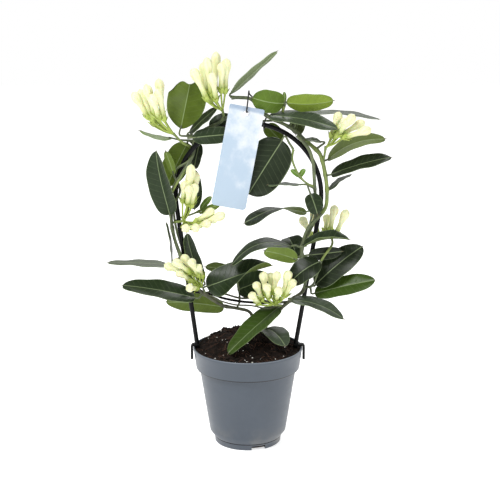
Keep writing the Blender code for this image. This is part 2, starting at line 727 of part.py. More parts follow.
def make_left_side(parts):
    points = stretch(LEFT_VINE, LEFT_CUTS[1], LEFT_CUTS[2])
    side = [(-82, 246, 1.7), (-74, 252, 7), (-62, 256, 4.5), (-52, 260, 0)]
    leaves = [
        ((-84, 256, -7), (-97.5, 325, -17), 31, (-8, -45), 3, 30, (-82.5, 240, -0.5)),
        ((-79, 300, -5), (-87.5, 325, -6), 9, 170, 1, 10, (-76, 292, -6.9)),
        ((-51, 261, -1), (-39, 276, -3), 8, 30, 1, 10),
        ((-50, 258, -2), (-30, 267.5, -6), 8, 160, 1, 10),
    ]
    return make_leafy_stem("vine_left_side", [(points, VINE_R), (side, SHOOT_R - 0.1)], leaves, parts)


def make_top_left(parts):
    points = stretch(LEFT_VINE, LEFT_CUTS[2], None)
    tendril = [(-66.5, 306, -6), (-70, 299, -13), (-76, 290, -18), (-81, 281, -20)]
    leaves = [
        ((-71, 349, -1), (-60, 400, 26), 41, 176, 5, 18),
        ((-80, 339, 1), (-114, 347, -5), 14, 84, -3, 5),
        ((-62, 345, 1), (-33, 371, -7), 22, 60, 0.5, 4),
        ((-58, 339.5, -11), (-14, 343.5, -7.2), 18.5, 6, 1, 8),
        ((-64, 334, 9), (-86, 288, 13), 30, 158, 3, 10),
        ((-51, 333, 11), (-57, 306, 11), 14, 30, 1, 8),
        ((-16, 360, 12), (-41, 351.5, 14), 18, 20, 2, 8),
        ((-60, 306, 6), (-57, 262, 10), 18, 20, 3, 8),
    ]
    return make_leafy_stem("vine_top_left", [(points, VINE_R), (tendril, SHOOT_R)], leaves, parts)


def make_all_buds(parts):
    make_umbel(
        "buds_top_left",
        [(-59.7, 329.6, 5.4), (-69, 334, -3), (-79, 344, -7)],
        [
            ((-104, 359, -8), (-121, 388, -14)),
            ((-97, 361, -14), (-107, 396, -20)),
            ((-90, 363, -5), (-93.5, 402, -2)),
            ((-98, 352, -2), (-111, 374, 6)),
            ((-88, 357, -16), (-95, 391, -26)),
        ],
        parts,
    )
    make_umbel(
        "buds_top",
        [(-25.3, 362.7, 2.1), (-27, 370, -3)],
        [
            ((-41, 381, -8), (-47, 419, -14)),
            ((-35, 384, -2), (-33, 430, 2)),
            ((-24, 386, -8), (-22, 423, -12)),
            ((-42, 378, -16), (-58, 413, -24)),
            ((-33, 378, -14), (-38, 408, -28)),
        ],
        parts,
    )
    make_umbel(
        "buds_right",
        [(81.1, 317, -2), (82, 323, -6), (83, 330, -8)],
        [
            ((88, 339, -5), (97, 367, -6)),
            ((93, 340, -12), (113, 364, -16)),
            ((97, 341, -6), (124, 357, -6)),
            ((93, 347, -9), (105, 359, -16)),
            ((101, 339, -14), (131, 349, -22)),
        ],
        parts,
    )
    make_umbel(
        "buds_left",
        [(-79.4, 248, -1.4), (-74, 248.5, -6.5), (-68, 249.5, -10)],
        [
            ((-70, 269, -14), (-67, 293, -19)),
            ((-64, 272, -16), (-60, 311, -20)),
            ((-58, 270, -12), (-55.5, 303, -12)),
            ((-65, 266, -18), (-62, 288, -30)),
            ((-68, 245, -16), (-67, 240, -34)),
            ((-55, 244, -16), (-24, 257, -20)),
            ((-57, 248, -9), (-32, 252, -9)),
        ],
        parts,
    )
    make_umbel(
        "buds_low_left",
        [(-54.7, 175.5, -10.6), (-50, 176, -15)],
        [
            ((-54, 174, -22), (-66, 175, -34)),
            ((-59, 181, -16), (-78, 194, -20)),
            ((-65, 190, -14), (-91, 201, -16)),
            ((-62, 191, -20), (-81, 206, -28)),
            ((-57, 188, -14), (-71, 212, -17)),
            ((-53, 187, -22), (-63, 207, -30)),
            ((-49, 186, -18), (-55, 200, -26)),
        ],
        parts,
    )
    make_umbel(
        "buds_low_middle",
        [(37, 154.7, -5.4), (29, 155.5, -15)],
        [
            ((19, 166, -20), (17, 193, -26)),
            ((28, 168, -22), (32.5, 193, -30)),
            ((25, 168, -15), (25, 192, -16)),
            ((38, 166, -20), (45, 194, -29)),
            ((40, 164, -22), (51, 184, -30)),
            ((31, 161, -26), (34.5, 174, -44)),
            ((23, 162, -28), (20.5, 178, -42)),
            ((16, 160, -22), (8, 181, -30)),
            ((13, 156, -24), (3, 168, -36)),
        ],
        parts,
    )
    make_umbel(
        "buds_low_right",
        [(79.7, 205.1, -14.2), (84, 212, -14), (89, 219, -13.5), (91.5, 224, -9), (91, 229, -1), (88, 233, 8)],
        [
            ((94, 232, 16), (107, 262, 20)),
            ((88, 235, 16), (94, 267, 20)),
            ((83, 234, 22), (86, 257, 30)),
            ((76, 232, 18), (70, 261, 24)),
            ((71, 230, 16), (57, 254, 22)),
        ],
        parts,
    )


def main():
    clear_scene()
    parts = make_collection("potted_stephanotis")
    cutters = make_collection("cutters")
    make_pot(parts, cutters)
    legs = hoop_line()
    holes = [
        ("hole_left_leg", legs[:4] - (0, 0, 0.8), HOOP_ROD_R + 0.8),
        ("hole_right_leg", legs[-4:] - (0, 0, 0.8), HOOP_ROD_R + 0.8),
        ("hole_right_root", smooth_path(spots(RIGHT_VINE[:4]), 3.0) - (0, 0, 0.8), VINE_R + 1.1),
        ("hole_left_root", smooth_path(spots(LEFT_VINE[:4]), 3.0) - (0, 0, 0.8), VINE_R + 1.0),
    ]
    make_soil(parts, cutters, holes)
    make_hoop(parts)
    make_tag(parts)
    make_tie(parts)
    make_right_foot(parts)
    make_right_low(parts)
    make_right_middle(parts)
    make_right_outer(parts)
    make_inner_low(parts)
    make_inner_high(parts)
    make_top_right(parts)
    make_left_foot(parts)
    make_left_low(parts)
    make_left_side(parts)
    make_top_left(parts)
    make_all_buds(parts)


main()
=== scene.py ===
# Potted stephanotis: the visible plant, hoop, tag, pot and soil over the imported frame
import math
from functools import partial

import bpy
import numpy as np
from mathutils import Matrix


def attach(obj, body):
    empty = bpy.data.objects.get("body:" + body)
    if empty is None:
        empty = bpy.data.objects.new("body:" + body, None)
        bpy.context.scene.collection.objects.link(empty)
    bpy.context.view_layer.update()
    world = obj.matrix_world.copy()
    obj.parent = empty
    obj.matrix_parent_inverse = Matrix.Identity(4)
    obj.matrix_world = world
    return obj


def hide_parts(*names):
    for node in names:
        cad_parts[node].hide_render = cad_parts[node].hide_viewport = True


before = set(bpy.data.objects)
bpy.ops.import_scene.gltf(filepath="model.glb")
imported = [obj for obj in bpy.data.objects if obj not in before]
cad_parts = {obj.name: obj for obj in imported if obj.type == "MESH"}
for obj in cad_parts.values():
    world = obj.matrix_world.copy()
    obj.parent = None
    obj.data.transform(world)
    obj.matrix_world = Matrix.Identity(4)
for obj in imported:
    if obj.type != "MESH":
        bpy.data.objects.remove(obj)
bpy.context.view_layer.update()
print("frame loaded, nodes:", len(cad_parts))

mm = 0.001
# the eye that places of leaves, stems and buds are given from, as in the solids
eye = {"at": (2.4, -1300.0, 522.0), "down": 15.0}

# small tools


def paint(code):  # hex code to a linear colour with alpha
    srgb = np.array([int(code[k:k + 2], 16) for k in (0, 2, 4)]) / 255.0
    linear = np.where(srgb <= 0.04045, srgb / 12.92, ((srgb + 0.055) / 1.055) ** 2.4)
    return (*linear.tolist(), 1.0)


def unit(vector):
    return vector / np.maximum(np.linalg.norm(vector, axis=-1, keepdims=True), 1e-9)


def nearest(points, wanted):
    return int(np.argmin(np.linalg.norm(points - wanted, axis=1)))


def spot(across, up, depth):  # the point at that depth which covers (across, up) of the hoop's plane
    x0, y0, z0 = eye["at"]
    spread = 1.0 + depth / -y0
    return np.array([x0 + (across - x0) * spread, depth, z0 + (up - z0) * spread])


def smoothPath(points, step):  # Catmull-Rom curve through the points, read at even steps
    p = np.array(points, float)
    p = np.vstack([2 * p[0] - p[1], p, 2 * p[-1] - p[-2]])
    t = np.linspace(0, 1, 16, endpoint=False)[None, :, None]
    a, b, c, d = (p[k:len(p) - 3 + k][:, None, :] for k in range(4))
    cubic = 2 * b + (c - a) * t + (2 * a - 5 * b + 4 * c - d) * t**2 + (3 * b - a - 3 * c + d) * t**3
    curve = np.vstack([(cubic / 2).reshape(-1, 3), p[-2][None]])
    length = np.concatenate([[0], np.cumsum(np.linalg.norm(np.diff(curve, axis=0), axis=1))])
    even = np.linspace(0, length[-1], max(2, int(round(length[-1] / step)) + 1))
    return np.stack([np.interp(even, length, curve[:, k]) for k in range(3)], 1)


def spotPath(points, step):  # the same curve through places given as the eye sees them
    return smoothPath([spot(*point) for point in points], step)


def waves(x, y, z, seed):  # smooth lumpy field: a sum of nine sine waves in seeded directions
    r = np.random.default_rng(seed)
    direction = r.normal(size=(9, 3)) * r.uniform(0.5, 1.6, (9, 1))
    phase = r.uniform(0, 2 * np.pi, 9)
    return sum(np.sin(d[0] * x + d[1] * y + d[2] * z + f) for d, f in zip(direction, phase)) / 3.0


def ringFaces(rows, columns):  # quads between neighbouring closed rings
    k = np.arange(rows * columns).reshape(rows, columns)
    after = np.roll(k, -1, 1)
    return np.stack([k[:-1], after[:-1], after[1:], k[1:]], -1).reshape(-1, 4)


def around(count):  # cosines and sines of even steps round a circle
    turn = np.arange(count) * 2 * np.pi / count
    return np.cos(turn), np.sin(turn)


def levelRings(radii, heights, steps):  # circles round the upright axis
    c, s = around(steps)
    r, z = np.array(radii)[:, None], np.array(heights)[:, None]
    return np.stack([r * c, r * s, np.repeat(z, steps, 1)], -1)


def square(along, spare):  # two directions square to a path and to each other
    n = unit(spare - along * (along @ spare)[..., None])
    return n, np.cross(along, n)


def wheels(path, radius, n, b, sides):
    c, s = around(sides)  # point(i, j) = path(i) + radius(i, j) (n cos turn(j) + b sin turn(j))
    return path[:, None] + radius * (c[:, None] * n + s[:, None] * b)


def sealed(rings, first, last):  # a stack of rings with a fan to one point at each end, a corner doubled
    rows, sides = rings.shape[:2]
    ring, number, low = np.arange(sides), rows * sides, (rows - 1) * sides
    after = np.roll(ring, -1)
    faces = [ringFaces(rows, sides)]
    for centre, a, b in ((number, after, ring), (number + 1, low + ring, low + after)):
        faces.append(np.stack([np.full(sides, centre), a, b, b], 1))
    return np.vstack([rings.reshape(-1, 3), [first], [last]]), np.vstack(faces)


def tube(path, radius, sides=12):  # wheels square to a path, closed at both ends
    path = np.asarray(path, float)
    along = unit(np.gradient(path, axis=0))
    n, b = square(along, np.eye(3)[np.argmin(np.abs(along).max(0))])
    radius = np.broadcast_to(radius, len(path))[:, None, None]
    return sealed(wheels(path, radius, n[:, None], b[:, None], sides), path[0], path[-1])


def newObject(name, data):
    thing = bpy.data.objects.new(name, data)
    bpy.context.scene.collection.objects.link(thing)
    return thing


pointNotes = {  # what each point carries: its attribute's type and field, and the value where none is given
    "toneA": ("FLOAT_COLOR", "color", (0.5, 0.5, 0.5, 1.0)),
    "toneB": ("FLOAT_COLOR", "color", (0.5, 0.5, 0.5, 1.0)),
    "place": ("FLOAT_VECTOR", "vector", (0.0, 0.0, 0.0)),
    "under": ("FLOAT", "value", (0.0,)),
}


class Heap:  # surfaces gathered into one mesh, each with its own colours and places
    def __init__(self):
        self.points, self.faces, self.kinds, self.notes = [], [], [], []
        self.count = 0

    def add(self, points, faces, kind=0, **given):
        self.points.append(points)
        self.faces.append(faces + self.count)
        self.kinds.append(np.full(len(faces), kind))
        self.notes.append([
            np.broadcast_to(given.get(label, plain), (len(points), len(plain)))
            for label, (_, _, plain) in pointNotes.items()])
        self.count += len(points)

    def build(self, name, finishes, nodes, slotName, sharp=45.0):
        mesh = bpy.data.meshes.new(name)
        points, faces = np.vstack(self.points) * mm, np.vstack(self.faces)
        keep = faces != np.roll(faces, 1, 1)  # a doubled corner makes a triangle
        mesh.vertices.add(len(points))
        mesh.vertices.foreach_set("co", points.astype(np.float32).ravel())
        mesh.loops.add(int(keep.sum()))
        mesh.loops.foreach_set("vertex_index", faces[keep].astype(np.int32))
        mesh.polygons.add(len(faces))
        starts = np.concatenate([[0], np.cumsum(keep.sum(1))[:-1]])
        mesh.polygons.foreach_set("loop_start", starts.astype(np.int32))
        mesh.polygons.foreach_set("material_index", np.concatenate(self.kinds).astype(np.int32))
        mesh.update(calc_edges=True)
        for k, (label, (kind, field, _)) in enumerate(pointNotes.items()):
            values = np.concatenate([notes[k] for notes in self.notes]).astype(np.float32)
            mesh.attributes.new(label, kind, "POINT").data.foreach_set(field, values.ravel())
        for finish in finishes:
            mesh.materials.append(finish)
        mesh.shade_smooth()
        mesh.set_sharp_from_angle(angle=math.radians(sharp))
        piece = newObject(name, mesh)
        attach(piece, "root")
        if nodes:
            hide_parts(*nodes)
        return piece


# finishes

looks = {name: paint(code) for name, code in {
    "ribPale": "a3b585", "marginPale": "93a578", "waxCream": "ecedc0", "waxGreen": "a3b24f",
    # the pot's dark line under the collar in this list (fold) is painted shade
    "waxCrease": "c9cc7e", "pot": "454d57", "fold": "151a1f", "rimHighlight": "747c86", "dust": "8a857a",
    "black": "090a0b", "cord": "121213", "peatDark": "17110d", "peatWarm": "2e2019", "fibre": "4c3123",
    "perlite": "e9e7e0", "cardBlue": "aabccd", "cardWhite": "d6dbe0", "cardBand": "8399b2",
    "cardSpeck": "aec6de", "cardBack": "eef3f8",
}.items()}
veinGap, veinLean = 6.5, 0.55  # millimetres from vein to vein, and how far each leans to the tip


def newFinish(name, **values):
    made = bpy.data.materials.new(name)
    made.use_nodes = True
    sockets = made.node_tree.nodes["Principled BSDF"].inputs
    for label, value in values.items():
        sockets[label.replace("_", " ")].default_value = value
    return made, made.node_tree, sockets


def feed(socket, value):  # a link from another socket, or a fixed value
    if isinstance(value, bpy.types.NodeSocket):
        socket.id_data.links.new(value, socket)
    else:
        socket.default_value = value


def newNode(tree, kind, inputs, **settings):
    node = tree.nodes.new("ShaderNode" + kind)
    for label, value in settings.items():
        setattr(node, label, value)
    for label, value in inputs.items():
        feed(node.inputs[label], value)
    return node


def maths(operation, a, b=0.0):
    return newNode(a.id_data, "Math", {0: a, 1: b}, operation=operation).outputs[0]


plus, minus, times = (partial(maths, operation) for operation in ("ADD", "SUBTRACT", "MULTIPLY"))


def ramp(value, low, high, start=0.0, end=1.0):  # smooth step of a value between low and high
    inputs = {"Value": value, "From Min": low, "From Max": high, "To Min": start, "To Max": end}
    return newNode(value.id_data, "MapRange", inputs, interpolation_type="SMOOTHSTEP").outputs["Result"]


def blend(mask, a, b):
    return newNode(mask.id_data, "Mix", {0: mask, 6: a, 7: b}, data_type="RGBA").outputs[2]


def speckle(tree, scale, detail=3.0, rough=0.55, stretch=None):
    place = newNode(tree, "TexCoord", {}).outputs["Object"]
    if stretch:
        place = newNode(tree, "Mapping", {"Vector": place, "Scale": stretch}).outputs["Vector"]
    inputs = {"Vector": place, "Scale": scale, "Detail": detail, "Roughness": rough}
    return newNode(tree, "TexNoise", inputs).outputs["Fac"]


def note(tree, name, field="Fac"):
    return newNode(tree, "Attribute", {}, attribute_name=name).outputs[field]


def axes(vector):  # the three numbers of a vector
    return newNode(vector.id_data, "SeparateXYZ", {0: vector}).outputs


def emboss(sockets, height, strength, distance):
    inputs = {"Strength": strength, "Distance": distance, "Height": height}
    feed(sockets["Normal"], newNode(height.id_data, "Bump", inputs).outputs["Normal"])


def newGroup(name, inputs, outputs):
    tree = bpy.data.node_groups.new(name, "ShaderNodeTree")
    for way, labels in (("INPUT", inputs), ("OUTPUT", outputs)):
        for label in labels:
            kind = "NodeSocketColor" if label == "Colour" else "NodeSocketFloat"
            tree.interface.new_socket(name=label, in_out=way, socket_type=kind)
    return tree, tree.nodes.new("NodeGroupInput").outputs, tree.nodes.new("NodeGroupOutput").inputs


def mottleGroup():
    # the colour made lighter and darker in soft patches of two sizes, and the same field as a height
    tree, given, out = newGroup("mottle", ("Colour", "Scale", "Strength"), ("Colour", "Field"))
    coarse, fine = speckle(tree, given["Scale"], 2.0), speckle(tree, times(given["Scale"], 6.0), 3.0)
    field = plus(times(coarse, 0.65), times(fine, 0.35))
    bright = plus(times(times(minus(field, 0.5), given["Strength"]), 4.0), 1.0)
    skin = newNode(tree, "VectorMath", {0: given["Colour"], "Scale": bright}, operation="SCALE").outputs[0]
    feed(out["Colour"], skin)
    feed(out["Field"], field)
    return tree


def veinGroup():
    # from a blade's millimetres along and across: the midrib, and side veins that lean towards the tip
    tree, given, out = newGroup("veins", ("Along", "Across", "Spacing"), ("Rib", "Veins"))
    away = maths("ABSOLUTE", given["Across"])
    feed(out["Rib"], ramp(away, 0.2, 0.75, 1.0, 0.0))
    lean = minus(given["Along"], times(away, veinLean))
    cycle = maths("COSINE", times(maths("DIVIDE", lean, given["Spacing"]), 2 * math.pi))
    feed(out["Veins"], times(ramp(cycle, 0.88, 1.0), ramp(away, 1.0, 3.0)))
    return tree


mottle, veins = mottleGroup(), veinGroup()


def mottled(tree, skin, scale, strength):
    inputs = {"Colour": skin, "Scale": scale, "Strength": strength}
    return newNode(tree, "Group", inputs, node_tree=mottle).outputs


def leafFinish():
    made, tree, sockets = newFinish("leaf skin", Roughness=0.42, Specular_IOR_Level=0.2)
    along, across, margin = axes(note(tree, "place", "Vector"))
    under = note(tree, "under")
    skin = blend(under, note(tree, "toneA", "Color"), note(tree, "toneB", "Color"))
    inputs = {"Along": along, "Across": across, "Spacing": veinGap}
    rib, side = newNode(tree, "Group", inputs, node_tree=veins).outputs
    skin = blend(plus(times(rib, 0.45), times(side, 0.05)), skin, looks["ribPale"])
    skin = blend(ramp(margin, 0.93, 1.0, 0.0, 0.4), skin, looks["marginPale"])
    patchy = mottled(tree, skin, 75.0, 0.22)
    feed(sockets["Base Color"], patchy["Colour"])
    feed(sockets["Roughness"], plus(plus(times(under, 0.2), times(patchy["Field"], 0.22)), 0.22))
    emboss(sockets, minus(times(speckle(tree, 900.0, 2.0), 0.25), times(side, 0.6)), 0.35, 0.0004)
    return made


def stemFinish():
    made, tree, sockets = newFinish("stem skin", Roughness=0.55)
    streaks = speckle(tree, 220.0, 4.0, 0.6, (1.0, 1.0, 0.35))
    skin = blend(ramp(streaks, 0.35, 0.7), note(tree, "toneA", "Color"), note(tree, "toneB", "Color"))
    feed(sockets["Base Color"], mottled(tree, skin, 120.0, 0.25)["Colour"])
    emboss(sockets, streaks, 0.5, 0.0006)
    return made


def budFinish():
    made, tree, sockets = newFinish(
        "bud wax", Roughness=0.42, Subsurface_Weight=0.12, Subsurface_Scale=0.003)
    along, crease, _ = axes(note(tree, "place", "Vector"))
    skin = blend(ramp(along, 0.05, 0.6), looks["waxGreen"], looks["waxCream"])
    patchy = mottled(tree, blend(times(crease, 0.35), skin, looks["waxCrease"]), 110.0, 0.09)
    feed(sockets["Base Color"], patchy["Colour"])
    emboss(sockets, patchy["Field"], 0.25, 0.0005)
    return made


def potFinish():
    # plastic with dust low down, a painted highlight along the rim's upper edge and a painted shade line
    # under the collar
    made, tree, sockets = newFinish("pot plastic", Roughness=0.36, Specular_IOR_Level=0.45)
    shell = mottled(tree, looks["pot"], 30.0, 0.07)["Colour"]
    high = axes(newNode(tree, "TexCoord", {}).outputs["Object"])[2]
    dusty = times(ramp(high, 0.0, 0.035, 0.35, 0.0), ramp(speckle(tree, 35.0, 4.0), 0.45, 0.7))
    shell = blend(dusty, shell, looks["dust"])
    # painted highlight: a pale band along the upper edge of the rim
    shell = blend(ramp(high, 0.1068, 0.1076, 0.0, 0.7), shell, looks["rimHighlight"])
    # painted shade: a dark line just under the collar, where the collar's step shadows the body
    fold = times(ramp(high, 0.0844, 0.0849, 0.0, 0.95), ramp(high, 0.0860, 0.0866, 1.0, 0.0))
    feed(sockets["Base Color"], blend(fold, shell, looks["fold"]))
    scuffs = speckle(tree, 60.0, 5.0, 0.6, (1.0, 1.0, 3.0))
    feed(sockets["Roughness"], plus(times(scuffs, 0.22), 0.26))
    emboss(sockets, speckle(tree, 700.0, 2.0), 0.12, 0.0002)
    return made


def soilFinish():
    made, tree, sockets = newFinish("peat crumb", Roughness=0.95, Specular_IOR_Level=0.2)
    grains, clods = speckle(tree, 900.0, 4.0, 0.7), speckle(tree, 180.0, 3.0)
    skin = blend(ramp(clods, 0.45, 0.7), looks["peatDark"], looks["peatWarm"])
    feed(sockets["Base Color"], blend(ramp(grains, 0.55, 0.72, 0.0, 0.6), skin, looks["fibre"]))
    emboss(sockets, grains, 0.9, 0.0012)
    return made


def cardFinish():
    # blue washes over white, told from the card's own across (-1 to 1) and along (0 at its foot to 1)
    made, tree, sockets = newFinish("tag card", Roughness=0.34)
    across, along, _ = axes(note(tree, "place", "Vector"))
    blot, fine = speckle(tree, 55.0, 5.0, 0.6), speckle(tree, 260.0, 3.0)
    wash = plus(plus(along, times(across, 0.22)), times(minus(blot, 0.5), 2.0))
    skin = blend(ramp(wash, 0.35, 1.15), looks["cardBlue"], looks["cardWhite"])
    skin = blend(ramp(plus(along, times(blot, 0.05)), 0.965, 1.0, 0.0, 0.75), skin, looks["cardBand"])
    skin = blend(ramp(fine, 0.6, 0.8, 0.0, 0.25), skin, looks["cardSpeck"])
    feed(sockets["Base Color"], blend(note(tree, "under"), skin, looks["cardBack"]))
    emboss(sockets, fine, 0.08, 0.0002)
    return made


def plainFinish(name, look, roughness, grain=600.0, depth=0.0002, shine=0.5):
    made, tree, sockets = newFinish(name, Roughness=roughness, Specular_IOR_Level=shine)
    feed(sockets["Base Color"], mottled(tree, looks[look], 90.0, 0.2)["Colour"])
    emboss(sockets, speckle(tree, grain, 2.0), 0.3, depth)
    return made


leafSkin, stemSkin, budWax = leafFinish(), stemFinish(), budFinish()
potPlastic, peatCrumb, cardStock = potFinish(), soilFinish(), cardFinish()
blackCoat = plainFinish("black coating", "black", 0.34, shine=0.16)
cordBlack = plainFinish("black cord", "cord", 0.6, 1800.0, 0.0004)
perliteWhite = plainFinish("perlite", "perlite", 0.85, 1500.0, 0.0006)
fibreBrown = plainFinish("root fibre", "fibre", 0.9, 1200.0, 0.0004)
print("finishes made")

# the pot

pot = {
    "height": 108.0, "rimR": 60.0, "collarZ": 85.0, "collarR": 56.9, "bodyTopR": 53.2,
    "bodyLowZ": 13.5, "bodyLowR": 42.3, "footZ": 6.5, "footFlare": 0.6, "baseR": 36.5, "wall": 1.5,
    "floor": 2.0, "hollowZ": 0.45, "steps": 144, "slots": 3, "slotTurn": 19.3, "slotWide": 16.0,
    "slotHigh": 4.6, "slotRound": 1.2, "slotUnder": 9.5, "slotPast": 12.0,
}


def potInnerRadius(z):
    low, lowR, high, highR = pot["bodyLowZ"], pot["bodyLowR"], pot["collarZ"], pot["bodyTopR"]
    if z >= pot["collarZ"] + pot["wall"]:
        low, lowR, high, highR = pot["collarZ"], pot["collarR"], pot["height"], pot["rimR"]
    return lowR + (highR - lowR) / (high - low) * (z - low) - pot["wall"]


def arc(across, up, radius, start, end, count):  # (radius, height) points on a round corner, in degrees
    a = np.radians(np.linspace(start, end, count))
    return np.column_stack([across + radius * np.cos(a), up + radius * np.sin(a)]).tolist()


def makePot():
    top, collarZ, lowZ, footZ, floor = (pot[k] for k in ("height", "collarZ", "bodyLowZ", "footZ", "floor"))
    rim, collar, body, low, base = (pot[k] for k in ("rimR", "collarR", "bodyTopR", "bodyLowR", "baseR"))
    ledge, foot, inFoot = collarZ + pot["wall"], base + pot["footFlare"], base - pot["wall"]
    inRim = potInnerRadius(top)
    profile = np.array([  # (radius, height), up the inside, over the rim and down the outside
        (inFoot, floor), (inFoot, footZ), (potInnerRadius(lowZ), lowZ),
        (potInnerRadius(ledge - 0.01), ledge), (potInnerRadius(ledge), ledge), (inRim - 0.2, top - 2.5),
        *arc(inRim + 0.55, top - 0.6, 0.6, 180, 90, 5), *arc(rim - 0.7, top - 0.7, 0.7, 90, 0, 6),
        (rim - 0.05, top - 2.6), (rim - 0.45, top - 3.2), (collar + 0.5, collarZ + 3.0),
        (collar + 0.15, collarZ + 1.2), *arc(collar - 0.75, collarZ + 0.75, 0.75, 0, -90, 5),
        (body + 0.5, collarZ + 0.05), (body, collarZ - 0.5), (body - 0.35, collarZ - 3.0),
        (low + 0.3, lowZ + 2.2), (low - 0.15, lowZ - 0.2), (foot + 0.5, footZ + 0.7), (foot, footZ),
        (base, 0.5), (base - 0.4, 0.0), (base - 3.0, 0.0), (base - 3.6, pot["hollowZ"]),
    ])
    points, faces = sealed(levelRings(*profile.T, pot["steps"]), (0, 0, floor), (0, 0, pot["hollowZ"]))
    heap = Heap()
    heap.add(points, faces[:, ::-1])
    piece = heap.build("pot_shell", [potPlastic], [], "pot_plastic", 50.0)
    half, curve, turnUp = pot["slotWide"] / 2, pot["slotRound"], pot["slotHigh"] - pot["slotRound"]
    outline = np.array([
        (-half, -1.0), (half, -1.0), *arc(half - curve, turnUp, curve, 0, 90, 4),
        *arc(curve - half, turnUp, curve, 90, 180, 4)])
    number = len(outline)
    caps = [list(range(number))[::-1], list(range(number, 2 * number))]
    for k in range(pot["slots"]):  # drain slots, each cut by a round-cornered block through the wall's foot
        turn = math.radians(pot["slotTurn"] - 90 + 360 * k / pot["slots"])
        out = np.array([math.cos(turn), math.sin(turn), 0.0])
        shape = outline @ [[-out[1], out[0], 0.0], [0.0, 0.0, 1.0]]
        block = np.vstack([shape + r * out for r in (base - pot["slotUnder"], base + pot["slotPast"])])
        mesh = bpy.data.meshes.new("slot")
        mesh.from_pydata((block * mm).tolist(), [], ringFaces(2, number).tolist() + caps)
        cutter = newObject("slot", mesh)
        change = piece.modifiers.new("slot", "BOOLEAN")
        change.operation, change.solver, change.object = "DIFFERENCE", "EXACT", cutter
        bpy.context.view_layer.update()
        cut = piece.evaluated_get(bpy.context.evaluated_depsgraph_get())
        cutMesh = bpy.data.meshes.new_from_object(cut)
        piece.modifiers.clear()
        piece.data = cutMesh
        bpy.data.objects.remove(cutter, do_unlink=True)
    piece.data.set_sharp_from_angle(angle=math.radians(50.0))
    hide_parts("pot")


makePot()
print("pot made")

# the soil

soil = {
    "edgeZ": 106.0, "heap": 16.0, "heapAt": (-3.0, 16.0), "heapR": 52.0, "lump": 1.04, "grain": 0.7,
    "gap": 0.3, "rings": 59, "steps": 160, "crumbs": 900, "crumbShapes": 6, "fibres": 170, "perlite": 36,
    "whiteAt": ((-35, -40), (-46, -24), (-3, -46), (5, -36), (14, -42), (39, -30)),
}


def soilHeight(x, y):  # the heap over the level edge, with soft lumps and fine grains
    off = ((x - soil["heapAt"][0]) ** 2 + (y - soil["heapAt"][1]) ** 2) / soil["heapR"] ** 2
    heap = soil["heap"] * np.maximum(0.0, 1.0 - off) ** 0.9
    fade = np.clip((57.0 - np.hypot(x, y)) / 8.0, 0.0, 1.0)  # no lumps at the pot's wall
    lumps = soil["lump"] * waves(x * 0.16, y * 0.16, 0.0, 3)
    lumps = lumps + soil["grain"] * waves(x * 0.62, y * 0.62, 0.0, 5)
    return soil["edgeZ"] + heap * np.minimum(1.0, fade + 0.35) + lumps * fade


def crumbShape(seed):  # a lumpy ball of 26 points: a small sphere grid with a wobbling radius
    high = np.radians([60, 15, -25, -65])
    points, faces = sealed(levelRings(np.cos(high), np.sin(high), 6), (0, 0, 1), (0, 0, -1))
    wobble = np.random.default_rng(seed).uniform(-1, 1, (len(points), 1))
    return points * (1.0 + 0.3 * wobble), faces[:, ::-1]


def scatter(heap, kind, places, sizes, seed):  # copies of a few crumb shapes, turned and sized
    r = np.random.default_rng(seed)
    for k in range(soil["crumbShapes"]):
        points, faces = crumbShape(seed * 10 + k)
        these, scale = places[k::soil["crumbShapes"]], sizes[k::soil["crumbShapes"]]
        turn = r.uniform(0, 2 * np.pi, len(these))[:, None]
        squash = r.uniform(0.7, 1.2, (len(these), 3)) * np.array([1.0, 1.0, 0.75])
        x, y, z = np.moveaxis(points[None] * squash[:, None] * scale[:, None, None], -1, 0)
        turned = [x * np.cos(turn) - y * np.sin(turn), x * np.sin(turn) + y * np.cos(turn), z]
        world = np.stack(turned, -1) + these[:, None]
        allFaces = faces[None] + np.arange(len(these))[:, None, None] * len(points)
        heap.add(world.reshape(-1, 3), allFaces.reshape(-1, 4), kind)


def onSoil(count, seed, edge=55.5):
    r = np.random.default_rng(seed)
    radius, turn = edge * np.sqrt(r.uniform(0.0, 1.0, count)), r.uniform(0, 2 * np.pi, count)
    x, y = radius * np.cos(turn), radius * np.sin(turn)
    return np.column_stack([x, y, soilHeight(x, y)])


